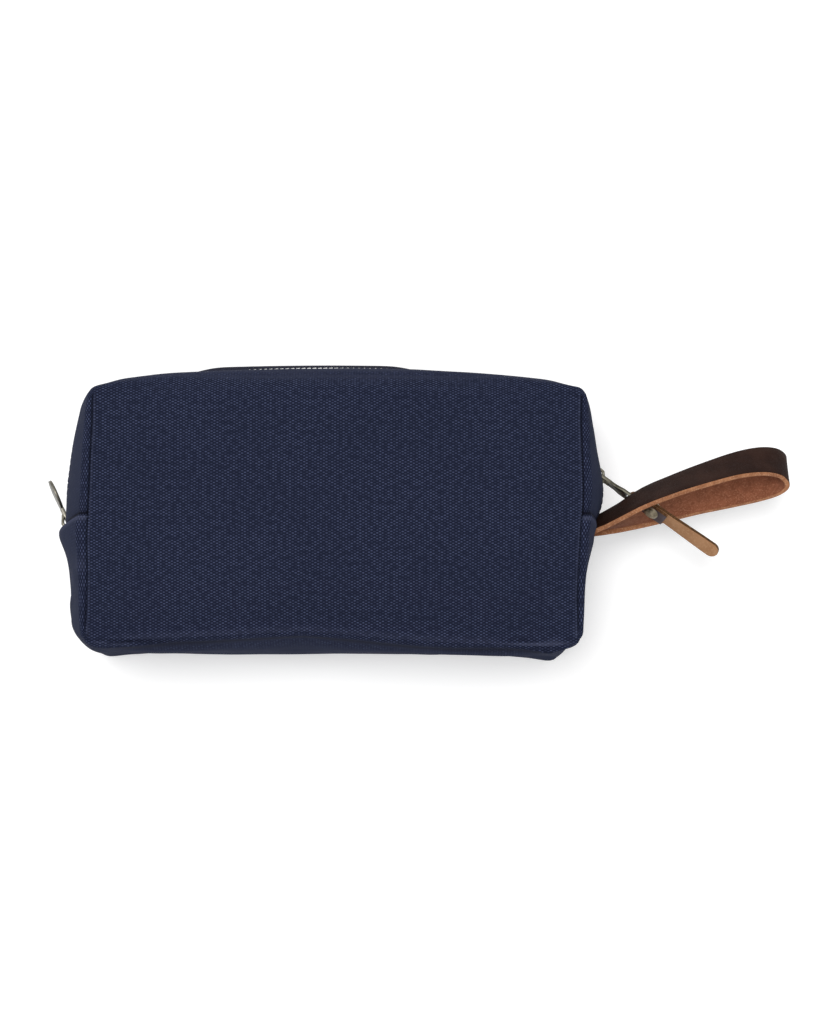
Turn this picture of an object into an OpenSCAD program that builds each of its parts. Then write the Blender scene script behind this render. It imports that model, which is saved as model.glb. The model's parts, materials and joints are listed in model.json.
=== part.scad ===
// Lined canvas shaving kit bag with a two-slider zip and a leather wrist loop.
// It lies on its back panel: +X runs to the wrist loop, +Y to the zip, +Z out of the front panel.
// The origin is the middle of the back panel's resting face.

/* [Bag] */
// Length of the front panel between its corner seams
panel_length = 230; // [224:1:236]
// Height of the front panel between its top and bottom folds
panel_height = 118; // [114:1:122]
// Depth from the back panel to the front panel's folds
bag_depth = 98; // [94:1:102]
// How far the front panel's middle stands proud of its folds
front_crown = 4; // [1:0.5:6]
// How far the top bows up between its corners
top_bow = 10; // [6:0.5:12]
// Thickness of the canvas
canvas_t = 1.2; // [0.8:0.1:1.6]
// Thickness of the lining
lining_t = 0.5; // [0.3:0.1:0.8]

/* [Zip] */
// Width of the gap that the zip fills between the canvas edges
mouth_gap = 11; // [10:0.5:12]
// Thickness of a row of teeth
teeth_t = 2.2; // [2:0.1:2.4]
// Width of one row of teeth
row_w = 2; // [1.6:0.1:2.4]
// Thickness of the zip tape
tape_t = 0.7; // [0.5:0.1:0.9]
// Length of a slider's plates
slider_length = 12; // [11:0.5:13]
// Width of a slider's plates
slider_width = 9.4; // [9:0.2:10]
// How high the right slider stands above the middle of the bag's right end
right_slider_y = 18.5; // [17:0.5:20]
// The same height on the left, where the slider is down at the end of the zip
left_slider_y = -3; // [-4:0.5:-2]

/* [Pulls] */
// Length of the right pull from the hinge to the end of its plate
right_pull_length = 21; // [19:0.5:22]
// Length of the left oval pull from the hinge to its tip
left_pull_length = 21; // [19:0.5:23]
// Width of the left oval pull
oval_w = 9.6; // [8:0.2:11]
// Thickness of the pulls
pull_t = 1.3; // [1:0.1:1.5]
// Length of the leather tab beyond the pull
tab_length = 49; // [45:1:52]
// Width of the leather tab
tab_w = 8; // [7:0.5:9]
// Thickness of the leather tab
tab_t = 1.8; // [1.6:0.1:2]
// Diameter of the rivet's caps
rivet_d = 7.6; // [7:0.2:8]

/* [Wrist loop] */
// Width of the strap
strap_w = 19; // [18:0.5:20]
// Thickness of the strap
strap_t = 2.5; // [2.2:0.1:2.8]

/* [Hidden] */
$fn = 48;

mid_z = bag_depth / 2 + 1;
seam_y = -17;
half_l = panel_length / 2;
half_h = panel_height / 2;

// Corners of the outline at the back, the middle and the front of the bag's depth
// in the order bottom left, bottom right, top right, top left
corners = [
    [[-half_l - 4, -half_h - 12], [-half_l - 11, -half_h - 5], [-half_l - 2, -half_h + 1]],
    [[half_l - 4, -half_h - 13], [half_l + 6, -half_h - 8], [half_l + 4, -half_h]],
    [[half_l - 3, half_h], [half_l + 5, half_h + 3], [half_l + 3, half_h + 1]],
    [[-half_l - 3, half_h - 1], [-half_l - 4, half_h + 4], [-half_l + 3, half_h + 2]]
];
// Outward bow of the bottom, right, top and left sides at the same three depths
bows = [[1, 2, 3], [4, 8.5, 1], [top_bow - 3, top_bow - 1.5, 5], [4, 7, 1]];
// The zip follows the outline of the middle, drawn in at the ends and proud along the top
zip_corners = [
    corners[0][1] + [3, 0], corners[1][1] - [3, 0], corners[2][1] + [-3, 0.5], corners[3][1] + [3, 0.5]
];
zip_bows = [0, 8.5, top_bow, 7];
corner_r = [7, 13, 6];
end_steps = 16;
long_steps = 11;
corner_steps = 3;
side_steps = [long_steps, end_steps, long_steps, end_steps];

// Value at depth w from 0 at the back to 1 at the front, through the three given ones
function through(p, w) = p[0] * (1 - w) * (1 - 2 * w) + p[1] * 4 * w * (1 - w) + p[2] * w * (2 * w - 1);
function outward(a, b) = let (d = (b - a) / norm(b - a)) [d.y, -d.x];
function side_point(a, b, bow, inset, t) = a + (b - a) * t + outward(a, b) * (bow * 4 * t * (1 - t) - inset);
function bent(p, q, r, t) = p * (1 - t) * (1 - t) + q * 2 * t * (1 - t) + r * t * t;
function rounded(c, bow, r, inset) = [
    for (i = [0:3]) let (
        a = c[i],
        b = c[(i + 1) % 4],
        e = c[(i + 2) % 4],
        from = r / norm(b - a),
        next = r / norm(e - b),
        out = outward(a, b) + outward(b, e),
        last = side_point(a, b, bow[i], inset, 1 - from),
        first = side_point(b, e, bow[(i + 1) % 4], inset, next)
    ) each concat(
        [for (k = [0:side_steps[i]]) side_point(a, b, bow[i], inset, from + (1 - 2 * from) * k / side_steps[i])],
        [for (k = [1:corner_steps]) bent(last, b - out * inset, first, k / (corner_steps + 1))]
    )
];
function outline(w, inset) = rounded(
    [for (c = corners) through(c, w)], [for (b = bows) through(b, w)], through(corner_r, w), inset
);
zip_outline = rounded(zip_corners, zip_bows, corner_r[1], 0);
centre = [0, -3];

// One ring of the shell: depth share, inset, share of full size and height
function ring(w, inset, share, z) = [
    for (p = outline(w, inset)) let (q = centre + (p - centre) * share) [q.x, q.y, z]
];
// The mouth's canvas edges close together over this height above the end seams
close_run = 4;
function zip_share(p) = min(1, max(0, (p.y - seam_y) / close_run));
// The edge ring stands back from the middle by half the mouth where the zip runs
function rim(inset, side, gap) = let (
    shut = outline(0.5, inset),
    wide = outline(0.5 + side * gap * 0.01, inset)
) [for (i = [0:len(shut) - 1]) let (s = zip_share(shut[i]), p = shut[i] * (1 - s) + wide[i] * s)
    [p.x, p.y, mid_z + side * (0.1 + s * gap)]
];

module loft(rings) {
    n = len(rings[0]);
    m = len(rings);
    skin = [
        for (j = [0:m - 2], i = [0:n - 1]) let (k = (i + 1) % n)
            each [[j * n + i, (j + 1) * n + i, (j + 1) * n + k], [j * n + i, (j + 1) * n + k, j * n + k]]
    ];
    start = [for (i = [1:n - 2]) [0, i, i + 1]];
    end = [for (i = [1:n - 2]) [(m - 1) * n, (m - 1) * n + i + 1, (m - 1) * n + i]];
    polyhedron(points = [for (r = rings) each r], faces = concat(skin, start, end));
}

// A cup: outer rings from the rim to the face, then inner rings back to the rim
module cup(outer, inner, flip) {
    rings = concat(outer, [for (i = [len(inner) - 1:-1:0]) inner[i]]);
    n = len(outer[0]);
    m = len(rings);
    half = len(outer);
    closed = [
        for (j = [0:m - 1], i = [0:n - 1]) if (j != half - 1) let (k = (i + 1) % n, u = (j + 1) % m)
            each [[j * n + i, u * n + i, u * n + k], [j * n + i, u * n + k, j * n + k]]
    ];
    middle = [
        for (j = [half - 1, half]) let (r = rings[j]) [
            [for (p = r) 1] * [for (p = r) p.x] / n,
            [for (p = r) 1] * [for (p = r) p.y] / n,
            r[0].z + (flip ? 0 : front_crown / 8)
        ]
    ];
    cap_a = [for (i = [0:n - 1]) [(half - 1) * n + i, m * n, (half - 1) * n + (i + 1) % n]];
    cap_b = [for (i = [0:n - 1]) [half * n + i, half * n + (i + 1) % n, m * n + 1]];
    faces = concat(closed, cap_a, cap_b);
    polyhedron(
        points = concat([for (r = rings) each r], middle),
        faces = flip ? [for (f = faces) [f[0], f[2], f[1]]] : faces
    );
}

// Rings of the front half at a given inset from the canvas's outer face
function front_rings(inset, gap) = [
    rim(inset, 1, gap),
    ring(0.63, inset, 1, mid_z + 13),
    ring(0.78, inset, 1, mid_z + 27),
    ring(0.92, inset, 1, bag_depth - 8),
    ring(0.98, inset + 1.2, 1, bag_depth - 3.5 - inset * 0.6),
    ring(1, inset + 4.5, 1, bag_depth - inset),
    ring(1, inset + 4.5, 0.8, bag_depth + front_crown * 0.4 - inset),
    ring(1, inset + 4.5, 0.4, bag_depth + front_crown * 0.85 - inset)
];
function back_rings(inset, gap) = [
    rim(inset, -1, gap),
    ring(0.37, inset, 1, mid_z - 13),
    ring(0.22, inset, 1, mid_z - 27),
    ring(0.08, inset, 1, 9),
    ring(0.02, inset + 1.2, 1, 4 + inset * 0.6),
    ring(0, inset + 5, 1, inset),
    ring(0, inset + 5, 0.5, inset)
];

canvas_gap = mouth_gap / 2;
lining_gap = mouth_gap / 2 + 5;
lining_in = canvas_t + 0.1;
skin_t = lining_in + lining_t;

module front_panel() {
    color("#2a2f43") cup(front_rings(0, canvas_gap), front_rings(canvas_t, canvas_gap), false);
}

module back_panel() {
    color("#262b3e") cup(back_rings(0, canvas_gap), back_rings(canvas_t, canvas_gap), true);
}

module front_lining() {
    color("#8f8a78") cup(front_rings(lining_in, lining_gap), front_rings(skin_t, lining_gap), false);
}

module back_lining() {
    color("#8f8a78") cup(back_rings(lining_in, lining_gap), back_rings(skin_t, lining_gap), true);
}

// Points of the zip's line above the side seams, from the right end over the top to the left end
zip_run = [for (i = [0:len(zip_outline) - 1]) if (zip_outline[i].y > seam_y + close_run) i];
zip_in = [for (i = [0:len(zip_outline) - 1]) let (
    n = len(zip_outline),
    a = zip_outline[(i + n - 1) % n],
    b = zip_outline[(i + 1) % n]
) -outward(a, b)];

// The rows stand this far from the middle, so that a slider's neck runs between them
row_start = 0.9;
row_end = row_start + row_w;

module teeth_row(side) {
    near = mid_z + side * row_start;
    far = mid_z + side * row_end;
    rings = [for (i = zip_run) let (p = zip_outline[i], d = zip_in[i] * teeth_t / 2) [
        [p.x - d.x, p.y - d.y, min(near, far)], [p.x - d.x, p.y - d.y, max(near, far)],
        [p.x + d.x, p.y + d.y, max(near, far)], [p.x + d.x, p.y + d.y, min(near, far)]
    ]];
    loft(rings);
}

module front_teeth() {
    color("#6d6b78") teeth_row(1);
}

module back_teeth() {
    color("#6d6b78") teeth_row(-1);
}

// The tape leaves the teeth, dips behind the canvas edge and lies just inside the canvas
tape_clear = 0.3;
module tape(side) {
    tucked = outline(0.5, canvas_t + tape_clear);
    deep = outline(0.5 + side * 0.1, canvas_t + tape_clear);
    rings = [for (i = zip_run) let (
        p = zip_outline[i],
        d = zip_in[i] * tape_t,
        q = p + zip_in[i] * max(0, (p - tucked[i]) * -zip_in[i]),
        s = deep[i],
        outer = [[p.x, p.y, row_end + 0.02], [q.x, q.y, canvas_gap - 0.1], [s.x, s.y, canvas_gap + 4.5]],
        raw = concat(outer, [for (k = [2:-1:0]) outer[k] + [d.x, d.y, 0]])
    ) [for (k = [0:5]) let (v = raw[side > 0 ? k : 5 - k]) [v.x, v.y, mid_z + side * v.z]]];
    loft(rings);
}

module front_zip_tape() {
    color("#15161f") tape(1);
}

module back_zip_tape() {
    color("#15161f") tape(-1);
}

// Bound seam allowances inside the bag: a folded strip standing in from each seam
binding_w = 9;
binding_t = 2.2;
binding_l = 56;
module end_binding(x) {
    color("#2d3040") translate([x, seam_y - binding_t / 2, mid_z - binding_l / 2])
        cube([binding_w, binding_t, binding_l]);
}

module left_seam_binding() {
    end_binding(-half_l - 6);
}

module right_seam_binding() {
    end_binding(half_l - 3);
}

module bottom_seam_binding() {
    color("#2d3040") translate([-half_l + 8, -half_h - 0.5, mid_z - binding_t / 2])
        cube([panel_length - 16, binding_w, binding_t]);
}

// A slider's own frame: X out of the bag, Y up along the zip, Z across it, on the teeth's middle
slot_half = 1.8;
plate_t = 1;
neck_w = 1.2;
hinge_out = 4.7;
bridge_w = 2.2;
bridge_t = 1.2;
bridge_inside = 6.1;
right_t = (right_slider_y - zip_corners[1].y) / (zip_corners[2].y - zip_corners[1].y);
left_t = (zip_corners[3].y - left_slider_y) / (zip_corners[3].y - zip_corners[0].y);
right_seat = side_point(zip_corners[1], zip_corners[2], zip_bows[1], 0, right_t);
left_seat = side_point(zip_corners[3], zip_corners[0], zip_bows[3], 0, left_t);
tilt_step = 0.08;
function run_dir(a, b, bow, t) =
    side_point(a, b, bow, 0, t + tilt_step) - side_point(a, b, bow, 0, t - tilt_step / 2);
right_up = run_dir(zip_corners[1], zip_corners[2], zip_bows[1], right_t);
left_up = -run_dir(zip_corners[3], zip_corners[0], zip_bows[3], left_t);
right_tilt = atan2(-right_up.x, right_up.y);
left_tilt = atan2(-left_up.x, left_up.y);

module at_right_slider() {
    translate([right_seat.x, right_seat.y, mid_z]) rotate([0, 0, right_tilt]) children();
}

module at_left_slider() {
    translate([left_seat.x, left_seat.y, mid_z]) rotate([0, 0, left_tilt]) mirror([1, 0, 0]) children();
}

module slider_plate() {
    nose = slider_width * 0.33;
    rotate([0, 90, 0]) linear_extrude(plate_t) polygon([
        [-nose, slider_length / 2], [nose, slider_length / 2],
        [slider_width / 2, slider_length * 0.1], [slider_width / 2, -slider_length / 2 + 1],
        [slider_width / 2 - 1, -slider_length / 2], [1 - slider_width / 2, -slider_length / 2],
        [-slider_width / 2, -slider_length / 2 + 1], [-slider_width / 2, slider_length * 0.1]
    ]);
}

module slider_body() {
    flange = 0.7;
    translate([slot_half, 0, 0]) slider_plate();
    translate([-slot_half - plate_t, 0, 0]) slider_plate();
    translate([-slot_half - plate_t / 2, -slider_length / 2 + 0.4, -neck_w / 2])
        cube([2 * slot_half + plate_t, 3.4, neck_w]);
    for (side = [-1, 1]) {
        translate([slot_half - flange, -slider_length / 2 + 1, side * (slider_width / 2 - 0.4) - 0.4])
            cube([flange + plate_t / 2, slider_length * 0.55, 0.8]);
    }
}

module slider_bridge() {
    reach = slider_length * 0.32;
    foot = slot_half + plate_t;
    top = hinge_out - foot + 2.6;
    translate([foot, 0, -bridge_w / 2]) linear_extrude(bridge_w) difference() {
        polygon([
            [0, -reach], [top - 1.4, -reach], [top, 1.6 - reach], [top, reach - 1.6],
            [top - 1.4, reach], [0, reach]
        ]);
        polygon([
            [-1, bridge_t - reach], [top - 1.9, bridge_t - reach], [top - bridge_t, 2.5 - reach],
            [top - bridge_t, reach - 2.5], [top - 1.9, reach - bridge_t], [-1, reach - bridge_t]
        ]);
    }
}

module right_slider_body() {
    color("#5d5a50") at_right_slider() slider_body();
}

module right_slider_bridge() {
    color("#5d5a50") at_right_slider() slider_bridge();
}

module left_slider_body() {
    color("#5d5a50") at_left_slider() slider_body();
}

module left_slider_bridge() {
    color("#5d5a50") at_left_slider() slider_bridge();
}

// A pull's own frame: the hinge bar lies on Z at the origin, the plate runs out along +X
bar_r = 0.75;
eye_half = 1.8;
eye_wall = 1;
eye_length = 6.2;

module pull_eye() {
    arm = eye_half + eye_wall;
    cylinder(r = bar_r, h = 2 * arm, center = true);
    for (side = [-1, 1]) {
        translate([0, -bar_r, side * (eye_half + eye_wall / 2) - eye_wall / 2])
            cube([eye_length, 2 * bar_r, eye_wall]);
    }
}

pull_slot = 3.9;
slot_w = 6.4;
end_half = slot_w / 2 + 1.1;

module pull_plate() {
    flat_end = right_pull_length - bar_r;
    arm = eye_half + eye_wall;
    translate([0, pull_t / 2, 0]) rotate([90, 0, 0]) linear_extrude(pull_t) difference() {
        polygon([
            [eye_length - 0.6, -arm], [9.5, -arm], [13, -end_half], [flat_end, -end_half],
            [flat_end, end_half], [13, end_half], [9.5, arm], [eye_length - 0.6, arm]
        ]);
        translate([flat_end - pull_slot, -slot_w / 2]) square([pull_slot + 1, slot_w]);
    }
    translate([flat_end, 0, 0]) cylinder(r = bar_r, h = 2 * end_half, center = true);
}

function turned(v, a) = [v.x * cos(a) - v.y * sin(a), v.x * sin(a) + v.y * cos(a)];
right_hinge = right_seat + turned([hinge_out, 0], right_tilt);
left_hinge = left_seat + turned([-hinge_out, 0], left_tilt);
right_pull_dir = -35;
left_pull_dir = 114;
right_pull_roll = -16;
left_pull_roll = 14;

module at_right_pull() {
    translate([right_hinge.x, right_hinge.y, mid_z])
        rotate([0, 0, right_pull_dir]) rotate([right_pull_roll, 0, 0]) children();
}

module right_pull() {
    color("#66635a") at_right_pull() {
        pull_eye();
        pull_plate();
    }
}

module left_pull() {
    oval_l = left_pull_length - eye_length + 1;
    color("#8a8880") translate([left_hinge.x, left_hinge.y, mid_z])
        rotate([0, 0, left_pull_dir]) rotate([left_pull_roll, 0, 0]) {
            pull_eye();
            translate([eye_length - 1, pull_t / 2, 0]) rotate([90, 0, 0]) linear_extrude(pull_t) difference() {
                polygon([for (k = [0:31]) let (a = k * 360 / 32, s = cos(a))
                    [oval_l / 2 * (1 - s), oval_w / 2 * sin(a) * (1 - 0.12 * s)]]);
                translate([-1, -eye_half]) square([1.2, 2 * eye_half]);
            }
        }
}

// The leather tab's own frame: the pull's end bar at the origin, the tab out along +X,
// with its short layer and the rivet's cap on the +Y side, which is turned up
tab_bar = right_pull_length - bar_r;
tab_roll = -18;
fold_r = 1.7;
neck_half = 2.4;
rivet_x = 10.5;
short_end = 18;
fold_end = 1.5;
press_start = 5.6;
post_r = 1.3;

module at_leather_tab() {
    at_right_pull() translate([tab_bar, 0, 0]) rotate([tab_roll, 0, 0]) mirror([0, 1, 0]) children();
}

module tab_profile() {
    difference() {
        union() {
            circle(r = fold_r + tab_t);
            translate([0, -fold_r - tab_t]) square([tab_length, tab_t]);
            translate([0, fold_r]) square([fold_end, tab_t]);
            polygon([
                [fold_end, fold_r], [press_start, -fold_r], [short_end, -fold_r],
                [short_end, tab_t - fold_r], [press_start + 0.5, tab_t - fold_r], [fold_end + 0.4, fold_r + tab_t]
            ]);
        }
        circle(r = fold_r);
        polygon([[0, -fold_r], [press_start, -fold_r], [fold_end, fold_r], [0, fold_r]]);
    }
}

module tab_plan() {
    tip = tab_w / 2;
    polygon([
        [-fold_r - tab_t - 1, -neck_half], [1, -neck_half], [rivet_x - 2, -tab_w / 2],
        [tab_length - tip, -tab_w / 2], [tab_length - tip, tab_w / 2], [rivet_x - 2, tab_w / 2],
        [1, neck_half], [-fold_r - tab_t - 1, neck_half]
    ]);
    translate([tab_length - tip, 0]) circle(r = tip);
}

module leather_tab() {
    color("#6b4a31") at_leather_tab() difference() {
        intersection() {
            linear_extrude(2 * tab_w, center = true) tab_profile();
            rotate([90, 0, 0]) linear_extrude(20, center = true) tab_plan();
        }
        translate([rivet_x, 0, 0]) rotate([90, 0, 0]) cylinder(r = post_r, h = 20, center = true);
    }
}

cap_h = 1.1;
module rivet_cap() {
    color("#736a5c") at_leather_tab() translate([rivet_x, tab_t - fold_r, 0]) rotate([-90, 0, 0]) {
        cylinder(r = rivet_d / 2, h = 0.5);
        translate([0, 0, 0.5]) cylinder(r1 = rivet_d / 2, r2 = rivet_d / 2 - 0.9, h = cap_h - 0.5);
    }
}

module rivet_post() {
    color("#736a5c") at_leather_tab() translate([rivet_x, -fold_r - tab_t, 0]) rotate([-90, 0, 0]) {
        cylinder(r = post_r - 0.02, h = 2 * tab_t);
        translate([0, 0, -0.7]) cylinder(r = rivet_d / 2 - 0.4, h = 0.7);
    }
}

// The strap's middle line: place of a point, then how far the strap leans there, from its root
// in the right end seam along the upper band, round the far bend and back along the lower band
root_x = half_l + 16.2;
strap_path = [
    [[root_x, -5.6, mid_z + 8], 2], [[root_x + 1.5, -5, mid_z + 8.3], 3], [[138, -0.8, mid_z + 12], 9],
    [[150, 6.6, mid_z + 16.2], 17], [[163, 12.8, mid_z + 17], 25], [[178, 19.2, mid_z + 15.6], 31],
    [[195, 24.8, mid_z + 12.4], 35], [[208, 27.4, mid_z + 8.5], 40], [[217, 26.2, mid_z + 4.5], 43],
    [[221, 21.8, mid_z + 1], 44], [[218, 18, mid_z - 2], 46], [[208, 14.6, mid_z - 6.8], 49],
    [[194, 10.8, mid_z - 12.2], 47], [[178, 5.8, mid_z - 16.4], 40], [[163, 0.4, mid_z - 17], 28],
    [[150, -3.8, mid_z - 15.6], 16], [[138, -7, mid_z - 11.4], 7],
    [[root_x + 1.5, -8.4, mid_z - 8.3], 3], [[root_x, -8.6, mid_z - 8], 2]
];
strap_cuts = 3;
function spline(a, b, c, d, t) = 0.5 * (2 * b + (c - a) * t + (2 * a - 5 * b + 4 * c - d) * t * t
    + (3 * b - a - 3 * c + d) * t * t * t);
function clamped(i) = max(0, min(len(strap_path) - 1, i));
function strap_at(i, t, part) = spline(
    strap_path[clamped(i - 1)][part], strap_path[i][part],
    strap_path[clamped(i + 1)][part], strap_path[clamped(i + 2)][part], t
);
strap_line = concat(
    [for (i = [0:len(strap_path) - 2], k = [0:strap_cuts - 1])
        [strap_at(i, k / strap_cuts, 0), strap_at(i, k / strap_cuts, 1)]],
    [strap_path[len(strap_path) - 1]]
);
function unit(v) = v / norm(v);

module wrist_loop() {
    last = len(strap_line) - 1;
    color("#392924") loft([for (i = [0:last]) let (
        p = strap_line[i][0],
        lean = strap_line[i][1],
        along = unit(strap_line[min(last, i + 1)][0] - strap_line[max(0, i - 1)][0]),
        face = unit(cross([0, -sin(lean), cos(lean)], along)),
        wide = cross(along, face) * strap_w / 2,
        thick = face * strap_t / 2
    ) [p + wide + thick, p + wide - thick, p - wide - thick, p - wide + thick]]);
}

front_panel();
back_panel();
front_lining();
back_lining();
front_zip_tape();
back_zip_tape();
front_teeth();
back_teeth();
left_seam_binding();
right_seam_binding();
bottom_seam_binding();
right_slider_body();
right_slider_bridge();
right_pull();
leather_tab();
rivet_cap();
rivet_post();
left_slider_body();
left_slider_bridge();
left_pull();
wrist_loop();
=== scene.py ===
import json
import math

import bmesh
import bpy
import numpy as np
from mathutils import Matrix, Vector


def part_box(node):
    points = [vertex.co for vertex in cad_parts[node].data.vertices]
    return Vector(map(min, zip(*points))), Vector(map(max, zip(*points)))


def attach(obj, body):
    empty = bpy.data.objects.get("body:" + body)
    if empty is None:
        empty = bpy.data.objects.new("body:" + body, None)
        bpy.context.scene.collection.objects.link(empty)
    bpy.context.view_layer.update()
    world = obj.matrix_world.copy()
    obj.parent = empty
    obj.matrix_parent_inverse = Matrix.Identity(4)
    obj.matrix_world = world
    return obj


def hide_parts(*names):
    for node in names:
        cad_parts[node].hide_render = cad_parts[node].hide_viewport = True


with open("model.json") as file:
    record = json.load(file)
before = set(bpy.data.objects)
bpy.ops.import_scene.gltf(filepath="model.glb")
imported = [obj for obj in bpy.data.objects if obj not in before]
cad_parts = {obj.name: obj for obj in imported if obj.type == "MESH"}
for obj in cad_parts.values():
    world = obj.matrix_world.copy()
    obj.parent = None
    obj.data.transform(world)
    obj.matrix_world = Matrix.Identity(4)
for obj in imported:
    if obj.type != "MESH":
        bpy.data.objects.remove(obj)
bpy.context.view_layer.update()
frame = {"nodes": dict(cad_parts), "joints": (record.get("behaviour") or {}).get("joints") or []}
nodes = frame["nodes"]
joints = {j["name"]: j for j in frame["joints"]}
scene = bpy.context.scene
mm = 0.001
print("frame loaded:", len(nodes), "CAD nodes")


# ---- camera, floor and light ----

studio = {
    "cameraAt": (0.0365, 0.0015, 1.40),
    "lens": 96.85,
    "sensor": 36,
    "floorSize": 30,
    "floorColour": (0.80, 0.80, 0.80, 1),
    "floorGlow": 0.34,  # a lit white table, so that shadows stay pale
    "worldLight": 0.62,
    "sunStrength": 1.60,
    "sunSize": 20,  # degrees, wide for soft shadows
    "sunTurn": (9, 6),  # degrees from overhead, towards the upper left
    "softboxPower": 1.2,
}


def lookAt(thing, target):
    thing.rotation_euler = (Vector(target) - thing.location).to_track_quat("-Z", "Y").to_euler()


def makeStudio():
    camera = bpy.data.objects.new("camera", bpy.data.cameras.new("camera"))
    camera.location = studio["cameraAt"]
    camera.data.lens = studio["lens"]
    camera.data.sensor_width = studio["sensor"]
    camera.data.sensor_fit = "AUTO"
    camera.data.clip_end = 100
    scene.collection.objects.link(camera)
    scene.camera = camera
    bpy.ops.mesh.primitive_plane_add(size=studio["floorSize"], location=(0, 0, -0.0004))
    floor = bpy.context.object
    floor.name = "floor"
    paint = bpy.data.materials.new("floorPaint")
    paint.use_nodes = True
    shader = paint.node_tree.nodes["Principled BSDF"]
    shader.inputs["Base Color"].default_value = studio["floorColour"]
    shader.inputs["Roughness"].default_value = 0.9
    shader.inputs["Emission Color"].default_value = (1, 1, 1, 1)
    shader.inputs["Emission Strength"].default_value = studio["floorGlow"]
    floor.data.materials.append(paint)
    world = bpy.data.worlds.new("studioWorld")
    scene.world = world
    world.use_nodes = True
    back = world.node_tree.nodes["Background"]
    back.inputs[0].default_value = (1.0, 1.0, 1.0, 1)
    back.inputs[1].default_value = studio["worldLight"]
    sun = bpy.data.objects.new("sun", bpy.data.lights.new("sun", "SUN"))
    sun.data.energy = studio["sunStrength"]
    sun.data.angle = math.radians(studio["sunSize"])
    tilt, turn = studio["sunTurn"]
    sun.location = (-math.tan(math.radians(turn)), math.tan(math.radians(tilt)), 1)
    lookAt(sun, (0, 0, 0))
    scene.collection.objects.link(sun)
    softbox = bpy.data.objects.new("softbox", bpy.data.lights.new("softbox", "AREA"))
    softbox.data.energy = studio["softboxPower"]
    softbox.data.size = 0.5
    softbox.location = (-0.55, 0.75, 0.9)
    lookAt(softbox, (0.02, 0, 0.05))
    scene.collection.objects.link(softbox)
    scene.view_settings.view_transform = "Standard"
    scene.view_settings.look = "None"


makeStudio()
print("studio ready")


# ---- shader node groups and materials ----

def srgb(r, g, b):
    linear = [((v / 255 + 0.055) / 1.055) ** 2.4 if v > 10 else v / 255 / 12.92 for v in (r, g, b)]
    return tuple(linear) + (1,)


def addNode(tree, kind, inputs=None, **settings):
    node = tree.nodes.new(kind)
    for key, value in settings.items():
        setattr(node, key, value)
    for key, value in (inputs or {}).items():
        if isinstance(value, bpy.types.NodeSocket):
            tree.links.new(value, node.inputs[key])
        else:
            node.inputs[key].default_value = value
    return node


def maths(tree, operation, a, b=0.0, c=None, clamp=False):
    inputs = {0: a, 1: b}
    if c is not None:
        inputs[2] = c
    return addNode(tree, "ShaderNodeMath", inputs, operation=operation, use_clamp=clamp).outputs[0]


def noise(tree, vector, scale, detail=2.0, rough=0.5):
    return addNode(tree, "ShaderNodeTexNoise", {
        "Vector": vector, "Scale": scale, "Detail": detail, "Roughness": rough}).outputs["Fac"]


def ramp(tree, value, low, high, outLow=0.0, outHigh=1.0):
    return addNode(tree, "ShaderNodeMapRange", {
        "Value": value, "From Min": low, "From Max": high, "To Min": outLow, "To Max": outHigh},
        interpolation_type="SMOOTHSTEP").outputs["Result"]


def mixColour(tree, factor, a, b, blend="MIX"):
    node = addNode(tree, "ShaderNodeMix", data_type="RGBA", blend_type=blend)
    for key, value in ((0, factor), (6, a), (7, b)):
        if isinstance(value, bpy.types.NodeSocket):
            tree.links.new(value, node.inputs[key])
        else:
            node.inputs[key].default_value = value
    return node.outputs[2]


def makeGroup(name, inputs, outputs):
    group = bpy.data.node_groups.new(name, "ShaderNodeTree")
    for label, kind, value in inputs:
        socket = group.interface.new_socket(name=label, in_out="INPUT", socket_type=kind)
        if value is not None:
            socket.default_value = value
    for label, kind in outputs:
        group.interface.new_socket(name=label, in_out="OUTPUT", socket_type=kind)
    return group, group.nodes.new("NodeGroupInput"), group.nodes.new("NodeGroupOutput")


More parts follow.
